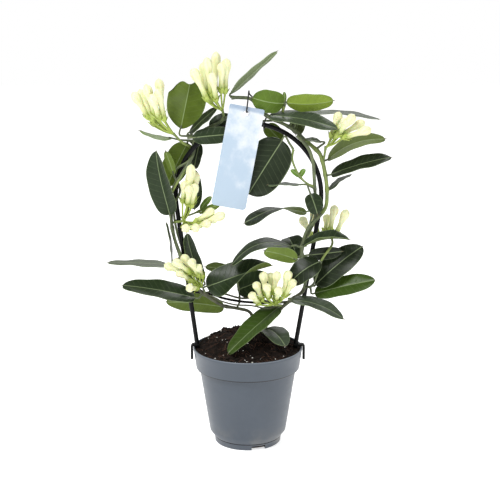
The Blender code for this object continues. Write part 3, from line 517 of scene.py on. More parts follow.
def makeSoil():
    # rings from the heap's middle out to the pot's wall, then down inside the wall and in under the soil
    gap, lowZ, ledge = soil["gap"], pot["bodyLowZ"], pot["collarZ"] + pot["wall"]
    edge = potInnerRadius(soil["edgeZ"]) - gap
    profile = [(edge * (k + 1) / soil["rings"], 0.0) for k in range(soil["rings"])] + [
        (potInnerRadius(ledge + gap) - gap, ledge + gap), (potInnerRadius(ledge - 0.01) - gap, ledge + gap),
        (potInnerRadius(lowZ) - gap, lowZ + 0.1), (pot["baseR"] - 1.2, pot["floor"] + gap),
    ]
    rings = levelRings(*np.array(profile).T, soil["steps"])
    surface = rings[:soil["rings"]]
    surface[..., 2] = soilHeight(surface[..., 0], surface[..., 1])
    surface[-1, :, 2] = soil["edgeZ"]
    points, faces = sealed(rings, (0, 0, soilHeight(0.0, 0.0)), (0, 0, pot["floor"] + gap))
    heap = Heap()
    heap.add(points, faces[:, ::-1])
    r = np.random.default_rng(21)
    scatter(heap, 0, onSoil(soil["crumbs"], 31), r.uniform(0.5, 1.7, soil["crumbs"]), 2)
    x, y = np.array(soil["whiteAt"], float).T
    white = np.vstack([onSoil(soil["perlite"], 33), np.column_stack([x, y, soilHeight(x, y) + 0.4])])
    scatter(heap, 1, white, r.uniform(0.45, 1.15, len(white)), 3)
    s = np.linspace(-0.5, 0.5, 6)
    for x0, y0, _ in onSoil(soil["fibres"], 35, 54.0):  # thin bent strands that lie on the crumbs
        turn, long, bend = r.uniform(0, 2 * np.pi), r.uniform(3.0, 10.0), r.uniform(-0.35, 0.35)
        x = x0 + long * (s * math.cos(turn) - bend * s**2 * math.sin(turn))
        y = y0 + long * (s * math.sin(turn) + bend * s**2 * math.cos(turn))
        inside = np.minimum(1.0, 55.0 / np.maximum(np.hypot(x, y), 1e-6))
        x, y = x * inside, y * inside
        path = np.column_stack([x, y, soilHeight(x, y) + 0.5 + r.uniform(0.0, 0.6) * (1 - 4 * s**2)])
        heap.add(*tube(path, r.uniform(0.16, 0.34), 5), 2)
    heap.build("soil_and_crumbs", [peatCrumb, perliteWhite, fibreBrown], ["soil"], "peat", 60.0)


makeSoil()
print("soil made")

# the hoop

hoop = {
    "centre": (0.8, 277.0), "radius": 78.0, "rod": 2.5, "feet": (-55.6, 52.3), "endZ": 89.0, "bar": 1.4,
    "barEnds": (171.0, 160.5),
    "barSag": ((-40, 167.5), (-27, 163.0), (-12, 160.0), (0, 158.5), (25, 157.5)),
    "sleeve": (0.2, 0.7, 0.9, 0.9, 0.95, 0.9, 0.9, 0.7, 0.2), "clipWide": 7.0, "clipDrop": 14.0,
    "clipThick": 2.8, "clipGap": 0.3, "clipBend": 2.0,
}


def hoopLine(step=2.5):  # up the left leg, round the ring, which both legs touch, and down the right leg
    (cx, cz), radius, top, endZ = hoop["centre"], hoop["radius"], pot["height"], hoop["endZ"]
    start, end = (
        math.atan2(top - cz, x - cx) + side * math.acos(radius / math.hypot(x - cx, top - cz))
        for side, x in zip((-1, 1), hoop["feet"]))
    start %= 2 * math.pi
    angles = np.linspace(start, end, int(round((start - end) * radius / step)) + 1)
    ring = np.column_stack([cx + radius * np.cos(angles), cz + radius * np.sin(angles)])
    legs = []
    for x, touch in zip(hoop["feet"], (ring[0], ring[-1])):
        slope = (touch[0] - x) / (touch[1] - top)
        legs.append(np.linspace((x + slope * (endZ - top), endZ), touch, 24))
    flat = np.vstack([legs[0][:-1], ring, legs[1][::-1][1:]])
    return np.column_stack([flat[:, 0], np.zeros(len(flat)), flat[:, 1]])


def strap(path, wide, thick):  # a flat band of rounded section carried along a path in the X-Z plane
    along = unit(np.gradient(path, axis=0))
    out = np.column_stack([-along[:, 2], np.zeros(len(path)), along[:, 0]])
    a = np.arange(16) * np.pi / 8 + np.pi / 16
    y = wide / 2 * np.sign(np.sin(a)) * np.abs(np.sin(a)) ** 0.35
    n = thick / 2 * np.sign(np.cos(a)) * np.abs(np.cos(a)) ** 0.35
    rings = path[:, None] + out[:, None] * n[None, :, None] + np.array([0, 1.0, 0]) * y[None, :, None]
    return sealed(rings, path[0], path[-1])


def makeHoop():
    heap, line = Heap(), hoopLine()
    heap.add(*tube(line, hoop["rod"], 20))
    legs = line[:30], line[-30:][::-1]
    ends = [(float(np.interp(z, leg[:, 2], leg[:, 0])), z) for leg, z in zip(legs, hoop["barEnds"])]
    bar = [(x, 0.0, z) for x, z in (ends[0], *hoop["barSag"], ends[1])]
    heap.add(*tube(smoothPath(bar, 3.0), hoop["bar"]))
    for (x, z), footX in zip(ends, hoop["feet"]):  # the sleeve that grips the rod at each end of the bar
        lean = unit(np.array([footX * 0.08, 0, 10.0]))
        path = np.array([x, 0, z]) + lean * np.linspace(-4.0, 4.0, 9)[:, None]
        heap.add(*tube(path, hoop["rod"] + np.array(hoop["sleeve"]), 20))
    thick, bend = hoop["clipThick"], hoop["clipBend"]
    outer = pot["rimR"] + hoop["clipGap"] + thick / 2
    low = pot["height"] + hoop["clipGap"] + thick / 2 + 0.4
    a = np.linspace(0, math.pi / 2, 6)
    corner = np.column_stack([outer - bend + bend * np.sin(a), low - bend + bend * np.cos(a)])
    for side, footX in zip((-1, 1), hoop["feet"]):  # a clip from the leg over the rim and down its outside
        flat = np.vstack([(abs(footX) - 1.5, low), corner, (outer, pot["height"] - hoop["clipDrop"])])
        path = np.column_stack([side * flat[:, 0], np.zeros(len(flat)), flat[:, 1]])
        points, faces = strap(path, hoop["clipWide"], thick)
        heap.add(points, faces[:, ::-side])
    heap.build("hoop_and_clips", [blackCoat], ["hoop"], "black_plastic")


makeHoop()
print("hoop made")

# the tag and its cord

tag = {
    "wide": 37.0, "long": 109.0, "thick": 0.8, "lean": 10.8, "centre": (-10.6, -15.0, 320.6), "holeR": 2.6,
    "holeDown": 7.0, "corner": 1.5, "curl": 0.25, "steps": 240, "rings": 24, "cord": 0.8,
}


def tagPlace(x, y, off):  # card millimetres (across, up, out) to the scene, with a faint curl
    lean = math.radians(tag["lean"])
    depth = tag["centre"][1] - off + tag["curl"] * ((x / (tag["wide"] / 2)) ** 2 - 0.35)
    px = tag["centre"][0] + x * math.cos(lean) + y * math.sin(lean)
    pz = tag["centre"][2] - x * math.sin(lean) + y * math.cos(lean)
    return np.stack([px, depth, pz], -1)


def makeTag():
    # rings that grow from the hole's circle to the card's outline, on both faces, joined at both edges
    halfW, halfL, c, steps = tag["wide"] / 2, tag["long"] / 2, tag["corner"], tag["steps"]
    holeY = halfL - tag["holeDown"]
    dx, dy = around(steps)
    reachX, reachY = halfW / np.maximum(np.abs(dx), 1e-6), np.where(dy > 0, halfL - holeY, halfL + holeY)
    reach = np.minimum(reachX, reachY / np.maximum(np.abs(dy), 1e-6))
    edgeX, edgeY = reach * dx, holeY + reach * dy
    cornerX, cornerY = np.clip(edgeX, -halfW + c, halfW - c), np.clip(edgeY, -halfL + c, halfL - c)
    offX, offY = edgeX - cornerX, edgeY - cornerY
    off = np.maximum(np.hypot(offX, offY), 1e-6)
    inCorner = (np.abs(offX) > 1e-6) & (np.abs(offY) > 1e-6)
    edgeX = np.where(inCorner, cornerX + offX / off * c, edgeX)
    edgeY = np.where(inCorner, cornerY + offY / off * c, edgeY)
    k = np.linspace(0, 1, tag["rings"])[:, None] ** 1.3
    x = (1 - k) * tag["holeR"] * dx + k * edgeX
    y = (1 - k) * (holeY + tag["holeR"] * dy) + k * edgeY
    half = tag["thick"] / 2
    points = np.vstack([tagPlace(x, y, half), tagPlace(x, y, -half)[::-1]]).reshape(-1, 3)
    faces = ringFaces(2 * len(k) + 1, steps) % len(points)
    across, along = np.vstack([x, x[::-1]]) / halfW, (np.vstack([y, y[::-1]]) + halfL) / tag["long"]
    place = np.stack([across, along, np.zeros(across.shape)], -1).reshape(-1, 3)
    heap = Heap()
    heap.add(points, faces, place=place, under=np.repeat([[0.0], [1.0]], len(k) * steps, 0))
    heap.build("tag_card", [cardStock], ["tag"], "tag_card", 30.0)


def makeCord():
    # a closed loop up from the tag's hole, over the top stem, down behind the rod, under it and back up in
    # front: wheels round a closed path, whose frame is kept from turning by one spare direction
    lean, up = math.radians(tag["lean"]), tag["long"] / 2 - tag["holeDown"]
    hole = np.array(tag["centre"]) + np.array([math.sin(lean) * up, 0.0, math.cos(lean) * up])
    front, back = hole + (0.4, -2.6, 1.4), hole + (0.4, 3.0, 1.4)
    loop = [
        front, front + (1.0, 0.2, 8.0), (hole[0] + 2.5, -10.0, 386.0), (hole[0] + 3.0, -1.0, 389.0),
        (hole[0] + 4.5, 6.0, 384.0), (15.0, 8.0, 373.0), (20.5, 7.0, 364.0), (18.0, 5.5, 356.0),
        (17.5, 2.8, 349.4), (17.0, -2.8, 349.6), (16.6, -5.2, 355.0), (13.5, -7.0, 361.5),
        (8.0, -9.5, 367.5), back + (1.2, -0.4, -0.4), front,
    ]
    path = smoothPath(loop, 1.5)[:-1]
    n, b = square(unit(np.roll(path, -1, 0) - np.roll(path, 1, 0)), np.array([0.35, 0.9, 0.25]))
    points = wheels(path, tag["cord"], n[:, None], b[:, None], 10).reshape(-1, 3)
    heap = Heap()
    heap.add(points, ringFaces(len(path) + 1, 10) % len(points))
    heap.build("tag_cord", [cordBlack], ["tag_tie"], "black_plastic")


makeTag()
makeCord()
print("tag and cord made")

# leaves, stems and buds

plant = {"vine": 1.9, "shoot": 1.1, "petiole": 1.1, "step": 9.0}
blade = {
    "rows": 27, "columns": 15, "fullness": 2.5, "widest": 0.9, "thick": 0.8, "thinEdge": 0.45,
    "wave": 0.02, "ripple": 0.013, "curl": 0.035, "quilt": 0.06, "groove": 0.3, "ridge": 0.45,
    "ribWide": 0.9, "notchEnd": 0.87,
}
tones = {  # upper side, underside
    # grey and silver are dark leaf greens with the sky's sheen painted in: a painted reflection
    "deep": ("212a1b", "4c582c"), "dark": ("26331e", "52612a"), "grey": ("3f4a39", "56633a"),
    "green": ("354a16", "586b22"), "fresh": ("5c7c2c", "6c8838"), "olive": ("46502b", "62713a"),
    "pale": ("5f7634", "6c8038"), "bright": ("3f5c1c", "566f22"), "lime": ("6a7f30", "778c33"),
    "silver": ("59614f", "67754f"), "vine": ("565f45", "69754e"), "young": ("7f8e4a", "6f8046"),
    "brown": ("414433", "55573f"), "point": ("4a3f2a", "6b6a48"), "stalk": ("93a544", "a9bb58"),
    "sepal": ("a2b650", "b7c468"),
}


def twoTone(tone, vary=1.0):
    return {label: np.array(paint(code)) * vary for label, code in zip(("toneA", "toneB"), tones[tone])}


def leafFrame(base, tip, roll):
    # the midrib's direction, the upper side's and the way across, for roll angles given as a column
    along = unit(tip - base)
    down = math.radians(eye["down"])
    toEye = np.array([0.0, -math.cos(down), math.sin(down)])
    facing = unit(toEye - along * (toEye @ along))
    upward = np.cross(along, facing)
    if upward[2] < 0:
        upward = -upward
    normal = facing * np.cos(np.radians(roll)) + upward * np.sin(np.radians(roll))
    return along, normal, np.cross(normal, along)


def addLeaf(heap, base, tip, width, roll, arch, fold, tone, seed, widest=blade["widest"], notch=0.0):
    # Grid of u (base to tip) and v (side to side). A point is the midrib's, which bows by the arch, plus
    # v half widths across, raised by the fold angle on each side, with a curled and waved margin. Half
    # the width is the root of 1 - |2 u^widest - 1|^fullness. A groove follows the midrib above and a
    # ridge below. Both faces make one ring a row, with closed ends. A notch makes the end two lobes.
    rows, columns = blade["rows"], blade["columns"] * 2 - 1 if notch else blade["columns"]
    r = np.random.default_rng(seed)
    length = float(np.linalg.norm(tip - base))
    u = (1 - np.cos(np.pi * np.linspace(0, 1, rows)))[:, None] / 2
    rolls, folds = (np.interp(u, (0, 1), np.broadcast_to(angle, 2)) for angle in (roll, fold))
    along, normal, side = leafFrame(base, tip, rolls)
    reach = (u * (blade["notchEnd"] if notch else 1.0)) ** widest
    half = np.maximum(np.sqrt((1.0 - np.abs(2 * reach - 1) ** blade["fullness"]).clip(0)) * width / 2, 0.5)
    t = np.linspace(1, -1, columns)
    v = (t * (0.35 + 0.65 * t * t))[None]
    away = np.abs(v)
    small = min(1.0, width / 20.0)
    ripple = blade["ripple"] * np.sin(19.0 * u + 3 * np.sign(v) + r.uniform(0, 2 * np.pi, 3)[0])
    wave = blade["wave"] * np.sin(9.0 * u + 2.0 * v) + ripple
    margin = width * (v * v * wave - blade["curl"] * away**3)
    veinTurn = 2 * np.pi * (length * u - veinLean * away * half) / veinGap
    raised = (np.sqrt(v * v + 0.012) - 0.1) * half * np.sin(np.radians(folds)) + arch * 4 * u * (1 - u)
    raised = raised + margin + blade["quilt"] * small * np.cos(veinTurn) * (1 - v**4)
    rib = np.exp(-((v * half / blade["ribWide"]) ** 2)) * small
    thin = blade["thick"] / 2 * (1.0 - blade["thinEdge"] * v * v)
    lobes = 0.5 + 0.5 * np.cos(np.pi * np.minimum(away * 2, 1.0)) + 1.7 * np.maximum(0.0, away * 2 - 1) ** 2
    bend = notch * np.exp(-(((u - 1.0) / 0.2) ** 2)) * (lobes - 0.8 * v)
    flat = (base + along * (length * u))[:, None] - along * bend[..., None]
    flat = flat + side[:, None] * (v * half * np.cos(np.radians(folds)))[..., None]
    upper, lower = (
        flat + normal[:, None] * high[..., None]
        for high in (raised + thin - blade["groove"] * rib, raised - thin - blade["ridge"] * rib))
    points = np.concatenate([upper, lower[:, ::-1]], 1).reshape(-1, 3)
    k = np.arange(columns - 1)
    start = np.stack([k + 1, k, 2 * columns - 1 - k, 2 * columns - 2 - k], 1)
    faces = np.vstack([ringFaces(rows, 2 * columns), start, start[:, ::-1] + (rows - 1) * 2 * columns])
    vv = np.concatenate([v, v[:, ::-1]], 1)
    place = np.stack(np.broadcast_arrays(length * u, vv * half, np.abs(vv)), -1).reshape(-1, 3)
    under = np.tile([0.0] * columns + [1.0] * columns, rows)[:, None]
    heap.add(points, faces, **twoTone(tone, 1.0 + 0.10 * r.uniform(-1, 1)), place=place, under=under)
    if width > 8 and not notch:  # the small dark point at the tip
        path = np.linspace(tip - along, tip + along * 2.4 - normal[-1] * 0.5, 5)
        heap.add(*tube(path, np.array([0.75, 0.6, 0.42, 0.28, 0.12]), 6), 1, **twoTone("point"))


def addStem(heap, path, radius, wood, roots, sides=12, seed=0):
    # a rod with faint swells, and a thicker joint where each leaf stalk leaves it
    r = radius * (1.0 + 0.05 * waves(*(path * 0.3).T, 40 + seed))
    for root in roots:
        r = r + 0.45 * np.exp(-((np.linalg.norm(path - root, axis=1) / 2.6) ** 2))
    heap.add(*tube(path, r, sides), 1, **twoTone(wood))


def makeLeafy(name, stems, leaves):
    # stems: (path or points, radius, wood)
    # leaves: (six numbers of base and tip, width, roll, arch, fold, tone[, root, widest, notch])
    heap, roots = Heap(), []
    paths = [path if isinstance(path, np.ndarray) else spotPath(path, 2.0) for path, _, _ in stems]
    allPaths = np.vstack(paths)
    for leaf in leaves:
        given = leaf[11] if len(leaf) > 11 else None
        roots.append(allPaths[nearest(allPaths, spot(*(given or leaf[:3])))])
    for k, (path, (_, radius, wood)) in enumerate(zip(paths, stems)):
        addStem(heap, path, radius, wood, roots, seed=k)
    for k, (leaf, root) in enumerate(zip(leaves, roots)):
        base, tip, width = spot(*leaf[:3]), spot(*leaf[3:6]), leaf[6]
        addLeaf(heap, base, tip, *leaf[6:11], sum(map(ord, name)) + 17 * k, *leaf[12:])
        along = unit(tip - base)  # the leaf's stalk, bent from its root into the midrib
        bend = base - along * 0.35 * np.linalg.norm(base - root)
        path = smoothPath([root, (root + bend) / 2, bend, base + along * 4.0], 1.6)
        radius = min(plant["petiole"], width * 0.12 + 0.3) * np.linspace(1.25, 0.75, len(path))
        heap.add(*tube(path, radius, 9), 1, **twoTone("vine" if width > 8 else "young"))
    heap.build(name + "_leaves", [leafSkin, stemSkin], [name], "leaf_green")


rightVine = [
    (16, 106, 12), (16, 112, 12), (16, 119, 12), (20, 132, 8), (28, 143, 3), (38, 153, -4), (50, 163, -8),
    (60, 171, -8.5), (63, 184, -9), (62, 199, -9), (58.5, 213, -8.5), (60, 226, -8), (62.5, 235, -7.8),
    (67, 243, -7.8), (74, 251.5, -7.8), (80, 258, -5.5), (84.2, 266, -1), (85, 277, 0), (84.5, 288, 0),
    (82.8, 300, 0), (80, 313, 0), (76.5, 322.5, 1), (69, 330, 2.5), (60.4, 337.2, 4), (52, 345.5, 5),
    (42, 352, 5), (32, 356.8, 4.6), (24, 360.5, 3.5), (15.5, 366.5, 1), (8, 376, 0.5), (2, 381, 0.5),
    (-8, 382, 0), (-17, 382, -1.5),
]
leftVine = [
    (12.5, 106, 17.5), (12.5, 112, 17.5), (12.5, 119, 17), (10, 130, 14), (6, 140, 9), (1, 148, 4),
    (-12, 151.5, -1), (-27, 154.5, -4.5), (-38, 161, -7), (-46, 167, -8), (-54, 173, -8.5),
    (-60, 181, -8.8), (-65.5, 191, -8.2), (-70, 201, -7.3), (-73.5, 212, -6.5), (-77.3, 223, -4.5),
    (-80, 233, -1), (-82, 245, 1.5), (-82.6, 258, 2.5), (-83, 272, 0), (-80.5, 283, -3.8),
    (-76.5, 291, -6.8), (-71, 299, -7.2), (-66, 307, -5.8), (-61.5, 315, -1.4), (-58, 322.5, 4.2),
    (-57, 330, 7), (-56.5, 337, 6), (-52, 343.5, 4.5), (-45, 348.5, 3.6), (-37, 352.3, 3.2),
    (-30, 355.5, 2.8), (-24.8, 360.5, 2),
]
innerVine = [
    (60, 221, -4.5), (62, 229, 1), (66.5, 238, 6.5), (71, 248, 7.2), (73.5, 258, 6.2), (73, 270, 2.5),
    (71.8, 285, -1), (70.8, 300, -4.5), (69.8, 312, -7), (66, 325, -6.8), (60, 334, -5), (52, 342, -3.5),
]


def stretches(vine, cuts):  # the parts of a vine, cut midway between two points of the solids' coarser path
    coarse, path = spotPath(vine, plant["step"]), spotPath(vine, 2.0)
    middles = (coarse[:-1] + coarse[1:]) / 2
    ends = [0] + [nearest(path, middles[nearest(middles, spot(*cut))]) for cut in cuts] + [len(path) - 1]
    return [path[a:b + 1] for a, b in zip(ends, ends[1:])]


def twine(lowZ, highZ, turns, phase, off):  # a shoot wound at a set distance round the hoop's left side
    line = hoopLine(2.0)
    line = line[:len(line) // 2]
    line = line[(line[:, 2] > lowZ) & (line[:, 2] < highZ)]
    along = unit(np.gradient(line, axis=0))
    inward = np.column_stack([along[:, 2], np.zeros(len(line)), -along[:, 0]])
    a = (phase + 2 * np.pi * turns * np.linspace(0, 1, len(line)))[:, None]
    return line + off * (np.cos(a) * inward + np.sin(a) * np.array([0.0, 1.0, 0.0]))


vineR, shootR = plant["vine"], plant["shoot"]
right = stretches(rightVine, [(60, 171, -8.5), (60.5, 228, -8), (80, 258, -5.5), (60.4, 337.2, 4)])
left = stretches(leftVine, [(-54, 173, -8.5), (-80, 234, -1), (-71, 299, -7.2)])
inner = stretches(innerVine, [(72.5, 277, 1)])
makeLeafy("vine_right_foot", [(right[0], vineR + 0.1, "brown")], [
    (33, 152, -5, -21.5, 100, -38, 32, 52, 1.6, 16, "green", None, 0.62),
    (19, 128, 3, 41, 108.5, -28, 28, 46, 5, 12, "grey"),
    (48, 161, -18, 105, 139.5, -31, 25, 59, 5.5, 12, "grey"),
])
makeLeafy("vine_right_low", [
    (right[1], vineR, "vine"),
    ([(61, 175, -8.7), (70, 177, -13), (75, 188, -15), (79.5, 204, -14)], shootR, "vine"),
], [
    (73, 168.6, -10.5, 138.5, 183.5, -22, 26, 36, 1, 10, "green"),
    (74, 178, -9, 124, 221, -2, 31, 28, 4, 10, "deep"),
    (78, 204, -15, 46, 180, -19, 28, 30, 5, 10, "deep"),
    (66, 211.5, -9, 102, 215.5, -6, 14, -8, 1.5, 10, "deep"),
    (53, 210, -7, 44, 231, 12, 28, 10, 4, 30, "dark"),
    (47, 221, -10, -17, 201, -20, 24, 60, 14, 5, "dark"),
    (53, 206.5, -12, 18, 216.5, -26, 20, 145, 2.3, 8, "pale"),
    (60, 221, -16, 109.6, 229, -19, 28, 71, 4.4, 32, "dark"),
])
makeLeafy("vine_right_middle", [(right[2], vineR + 0.1, "vine")], [
    (63, 259, -14, -3.5, 247, -25, 27, (116, 35), 9, 5, "deep", (66, 241.5, -7.8)),
])
makeLeafy("vine_right_outer", [(right[3], vineR + 0.2, "young")], [
    (89, 300, -4, 152.5, 318.5, -12, 30, 58, 2, 12, "deep"),
    (88, 284, 4, 110, 300, 16, 22, 76, 2, 5, "dark"),
    (85, 316, 3, 145.5, 338.5, 8, 25, 122, 9, 10, "olive"),
    (78, 335, -4, 61, 337, -7, 12, 60, 1, 10, "green"),
])
makeLeafy("vine_inner_low", [(inner[0], vineR - 0.1, "vine")], [
    (67, 279, -8, 75, 256.5, -15, 19, 10, 2, 10, "dark", (73.4, 263, 4.8)),
])
makeLeafy("vine_inner_high", [
    (inner[1], vineR - 0.1, "vine"),
    ([(71.3, 287, -1.4), (64, 290, -6), (57, 296, -9), (52, 304, -10.5), (47.5, 316, -10.5),
      (48.5, 327, -9)], shootR, "young"),
], [
    (57, 289, -7, 22, 289, -14, 24, 78, 0.5, 5, "grey", (71.6, 284, -1)),
    (36.5, 336.5, -6, 0.5, 278.5, -9, 47, 4, 2, 8, "deep"),
    (55, 298, -10, 46, 305, -12, 6, 20, 1, 5, "fresh"),
    (56, 298, -9, 61, 306, -10, 6, 20, 1, 5, "fresh"),
])
makeLeafy("vine_top_right", [
    (right[4], vineR, "vine"), ([(32, 356.8, 4.6), (36, 365, 0), (38.5, 373.5, -4)], shootR, "young"),
], [
    (-18, 386, -2, 30, 430, -12, 20, 104, 0.5, 8, "silver"),
    (38, 376, -6, 5, 382, -12, 26, 150, -4, 8, "bright", (37.8, 371, -2.8)),
    (41, 377, -4, 90, 379, -10, 24, 132, -4, 12, "lime", (37.3, 369, -1.8)),
    (38.5, 377, -4, 38.5, 388, -4, 4.5, 20, 0.5, 10, "pale"),
    (23, 363, -4, 95, 349, -20, 28, 50, 3.5, 10, "grey"),
    (62, 366, 10, 138.5, 359.5, 20, 28, 72, 2.6, 8, "grey", (48, 348.5, 5)),
    (56, 363, 12, 51, 343, 16, 18, 20, 2, 8, "olive", (43, 351.5, 5)),
    (19, 353, 14, 36, 335, 15, 18, 155, 2, 10, "green", (29, 358, 4.3)),
])
makeLeafy("vine_left_foot", [
    (left[0], vineR, "brown"),
    ([(-12, 151.5, -1), (-9, 160, 5.5), (-10, 175, 8.5), (-14, 190, 8)], shootR, "vine"),
    ([(-46, 169, -6), (-36, 171, -4), (-24, 167.5, 3.5), (-8, 163, -3), (8, 163, 3), (28, 158, -4),
      (40, 158, -6)], shootR, "brown"),
    ([(-40, 165, -6), (-30, 160, -9), (-14, 155.5, -9), (4, 154.5, -8), (22, 151, -8), (36, 155, -6)],
     shootR - 0.2, "brown"),
], [
    (-26, 153, 7, -89, 159, 19, 25, 150, 3, 10, "green"),
    (-58, 163.5, -13, -136.5, 177.5, -20.5, 33, 54, 1.8, 12, "dark", (-48, 168.6, -8.1), 0.75),
    (-45, 176, -12, 26, 200, -22, 37, (0, 95), 1, (0, 50), "dark", (-46.5, 167.4, -8)),
    (-11, 172, 9, 25, 186, 4, 28, 15, 2, 10, "dark"),
    (-17, 193, 8, -46, 198.5, 6, 14, 140, 2, 10, "olive"),
])
makeLeafy("vine_left_low", [(left[1], vineR, "vine")], [
    (-82, 200, 3, -151.5, 203.5, 8, 28, 74, 0.8, 5, "silver"),
    (-82, 206, -5, -87.5, 247, -13, 14, 84, 1, 5, "dark"),
    (-48, 182, -5, -65.5, 235, -2, 22, 50, -4, 5, "dark", (-57.5, 177.5, -8.6)),
])
makeLeafy("vine_left_side", [
    (left[2], vineR, "vine"),
    ([(-82, 246, 1.7), (-74, 252, 7), (-62, 256, 4.5), (-52, 260, 0)], shootR - 0.1, "young"),
    (twine(178.0, 334.0, 2.4, 0.4, 4.4), shootR + 0.2, "vine"),
], [
    (-84, 256, -7, -97.5, 325, -17, 31, (-8, -45), 3, 30, "dark", (-82.5, 240, -0.5)),
    (-79, 300, -5, -87.5, 325, -6, 9, 170, 1, 10, "pale", (-76, 292, -6.9)),
    (-51, 261, -1, -39, 276, -3, 8, 30, 1, 10, "pale"),
    (-50, 258, -2, -30, 267.5, -6, 8, 160, 1, 10, "pale"),
])
makeLeafy("vine_top_left", [
    (left[3], vineR, "vine"),
    ([(-66.5, 306, -6), (-70, 299, -13), (-76, 290, -18), (-81, 281, -20)], shootR, "young"),
], [
    (-71, 349, -1, -60, 400, 26, 44, 176, 5, 18, "green", None, 1.35, 4.6),
    (-80, 339, 1, -114, 347, -5, 14, 66, -3, 5, "pale"),
    (-62, 345, 1, -33, 371, -7, 22, 60, 0.5, 4, "deep"),
    (-58, 339.5, -11, -14, 343.5, -7.2, 18.5, 6, 1, 8, "dark"),
    (-64, 334, 9, -86, 288, 13, 30, 158, 3, 10, "green"),
    (-51, 333, 11, -57, 306, 11, 14, 30, 1, 8, "deep"),
    (-16, 360, 12, -41, 351.5, 14, 18, 20, 2, 8, "dark"),
    (-60, 306, 6, -57, 262, 10, 18, 20, 3, 8, "dark"),
])
print("leaves and stems made")

# the bud clusters

bud = {
    "pedicel": 0.85, "rows": 30, "sides": 25, "petals": 5, "twist": 8.5, "crease": 0.2,
    "sepalLong": (6.0, 9.0),
    "along": (0.0, 0.04, 0.10, 0.20, 0.36, 0.50, 0.62, 0.72, 0.80, 0.88, 0.95, 1.0),
    "radius": (1.3, 2.6, 3.1, 3.0, 2.6, 2.8, 3.8, 4.9, 5.3, 5.0, 3.8, 0.8),
}


def addBud(heap, root, calyx, tip, seed):
    # radius(t, a) = profile(t) (1 - head(t) crease(5 a + twist t)): a green calyx, a narrow tube and a
    # closed head of five petals wound round each other, on a curved stalk, with five pointed sepals
    r = np.random.default_rng(seed)
    rows, sides = bud["rows"], bud["sides"]
    axis = tip - calyx
    scale = min(1.0, max(0.75, float(np.linalg.norm(axis)) / 34.0)) * 0.25 + 0.75
    t = np.linspace(0, 1, rows)[:, None] ** 0.95
    raw = np.interp(t[:, 0], bud["along"], bud["radius"]) * scale
    profile = np.convolve(np.concatenate([raw[:1], raw, raw[-1:]]), [0.25, 0.5, 0.25], "valid")
    profile[-1] = 0.3
    a = unit(axis)
    n, b = square(a, np.array([0.2, 0.9, 0.3]))
    head = np.clip((t - 0.5) / 0.2, 0, 1)
    turn = np.arange(sides) * 2 * np.pi / sides
    crease = 1.0 - np.abs(np.cos((bud["petals"] * turn + bud["twist"] * t + r.uniform(0, 6)) / 2)) ** 0.6
    radius = profile[:, None] * (1.0 - bud["crease"] * head * crease)
    line = calyx + axis * t + n * (t * (1 - t) * r.uniform(-2.0, 2.0))
    points, faces = sealed(wheels(line, radius[..., None], n, b, sides), line[0], line[-1] + a * 0.5)
    place = np.stack(np.broadcast_arrays(t, head * crease, 0.0), -1).reshape(-1, 3)
    heap.add(points, faces, place=np.vstack([place, [[0, 0, 0], [1, 0, 0]]]))
    reach = np.linalg.norm(calyx - root)
    middle = root + unit(calyx - root) * reach * 0.5 + (0, 0, -0.06 * reach)
    path = smoothPath([root, middle, calyx - a, calyx + a * 1.5], 1.5)
    heap.add(*tube(path, bud["pedicel"] * np.linspace(0.95, 1.3, len(path)), 8), 1, **twoTone("stalk"))
    s = np.linspace(0, 1, 7)[:, None]
    wide = 2.1 * np.sin(np.pi * np.clip(s * 0.86 + 0.14, 0, 1)) ** 0.8 + 0.1
    faces = np.vstack([ringFaces(7, 4), [[0, 3, 2, 1], [24, 25, 26, 27]]])[:, ::-1]
    for k in range(5):  # sepals, each a small pointed blade that leans out from the calyx
        c = 2 * np.pi * k / 5 + r.uniform(-0.2, 0.2)
        out = n * math.cos(c) + b * math.sin(c)
        across = np.cross(a, out) * wide
        away = out * (1.5 + 2.3 * np.sqrt(s) + 1.7 * s**2)
        middle = calyx + a * (r.uniform(*bud["sepalLong"]) * s - 0.6) + away
        edge = middle - out * 0.35 * wide
        rings = np.stack([edge - across, middle + out * 0.15, edge + across, middle - out * 0.35], 1)
        heap.add(rings.reshape(-1, 3), faces, 2, **twoTone("sepal"))


def makeUmbel(name, stalk, buds):  # buds: six numbers of calyx and tip
    heap = Heap()
    before, root = spotPath(stalk, 7.0)[-2:]
    addStem(heap, spotPath(stalk, 1.5), shootR + 0.2, "young", [root], 10)
    for k, place in enumerate(buds):
        start = before + (root - before) * (0.6 + 0.4 * k / len(buds))
        addBud(heap, start, spot(*place[:3]), spot(*place[3:]), sum(map(ord, name)) + k)
    heap.build(name + "_flowers", [budWax, stemSkin, stemSkin], [name], "bud_wax")


makeUmbel("buds_top_left", [(-59.7, 329.6, 5.4), (-69, 334, -3), (-79, 344, -7)], [
    (-104, 359, -8, -121, 388, -14), (-97, 361, -14, -107, 396, -20), (-90, 363, -5, -93.5, 402, -2),
    (-98, 352, -2, -111, 374, 6), (-88, 357, -16, -95, 391, -26), (-99, 356, -8, -114, 391, -6),
    (-93, 358, -18, -101, 386, -28), (-94, 355, -3, -103, 383, 4),
])
makeUmbel("buds_top", [(-25.3, 362.7, 2.1), (-27, 370, -3)], [
    (-41, 381, -8, -47, 419, -14), (-35, 384, -2, -33, 430, 2), (-24, 386, -8, -22, 423, -12),
    (-42, 378, -16, -58, 413, -24), (-33, 378, -14, -38, 408, -28), (-38, 383, -14, -43, 424, -22),
    (-28, 387, -10, -27, 419, -20), (-38, 376, -6, -52, 405, -8),
])
makeUmbel("buds_right", [(81.1, 317, -2), (82, 323, -6), (83, 330, -8)], [
    (88, 339, -5, 97, 367, -6), (93, 340, -12, 113, 364, -16), (97, 341, -6, 124, 357, -6),
    (93, 347, -9, 105, 359, -16), (101, 339, -14, 131, 349, -22),
])
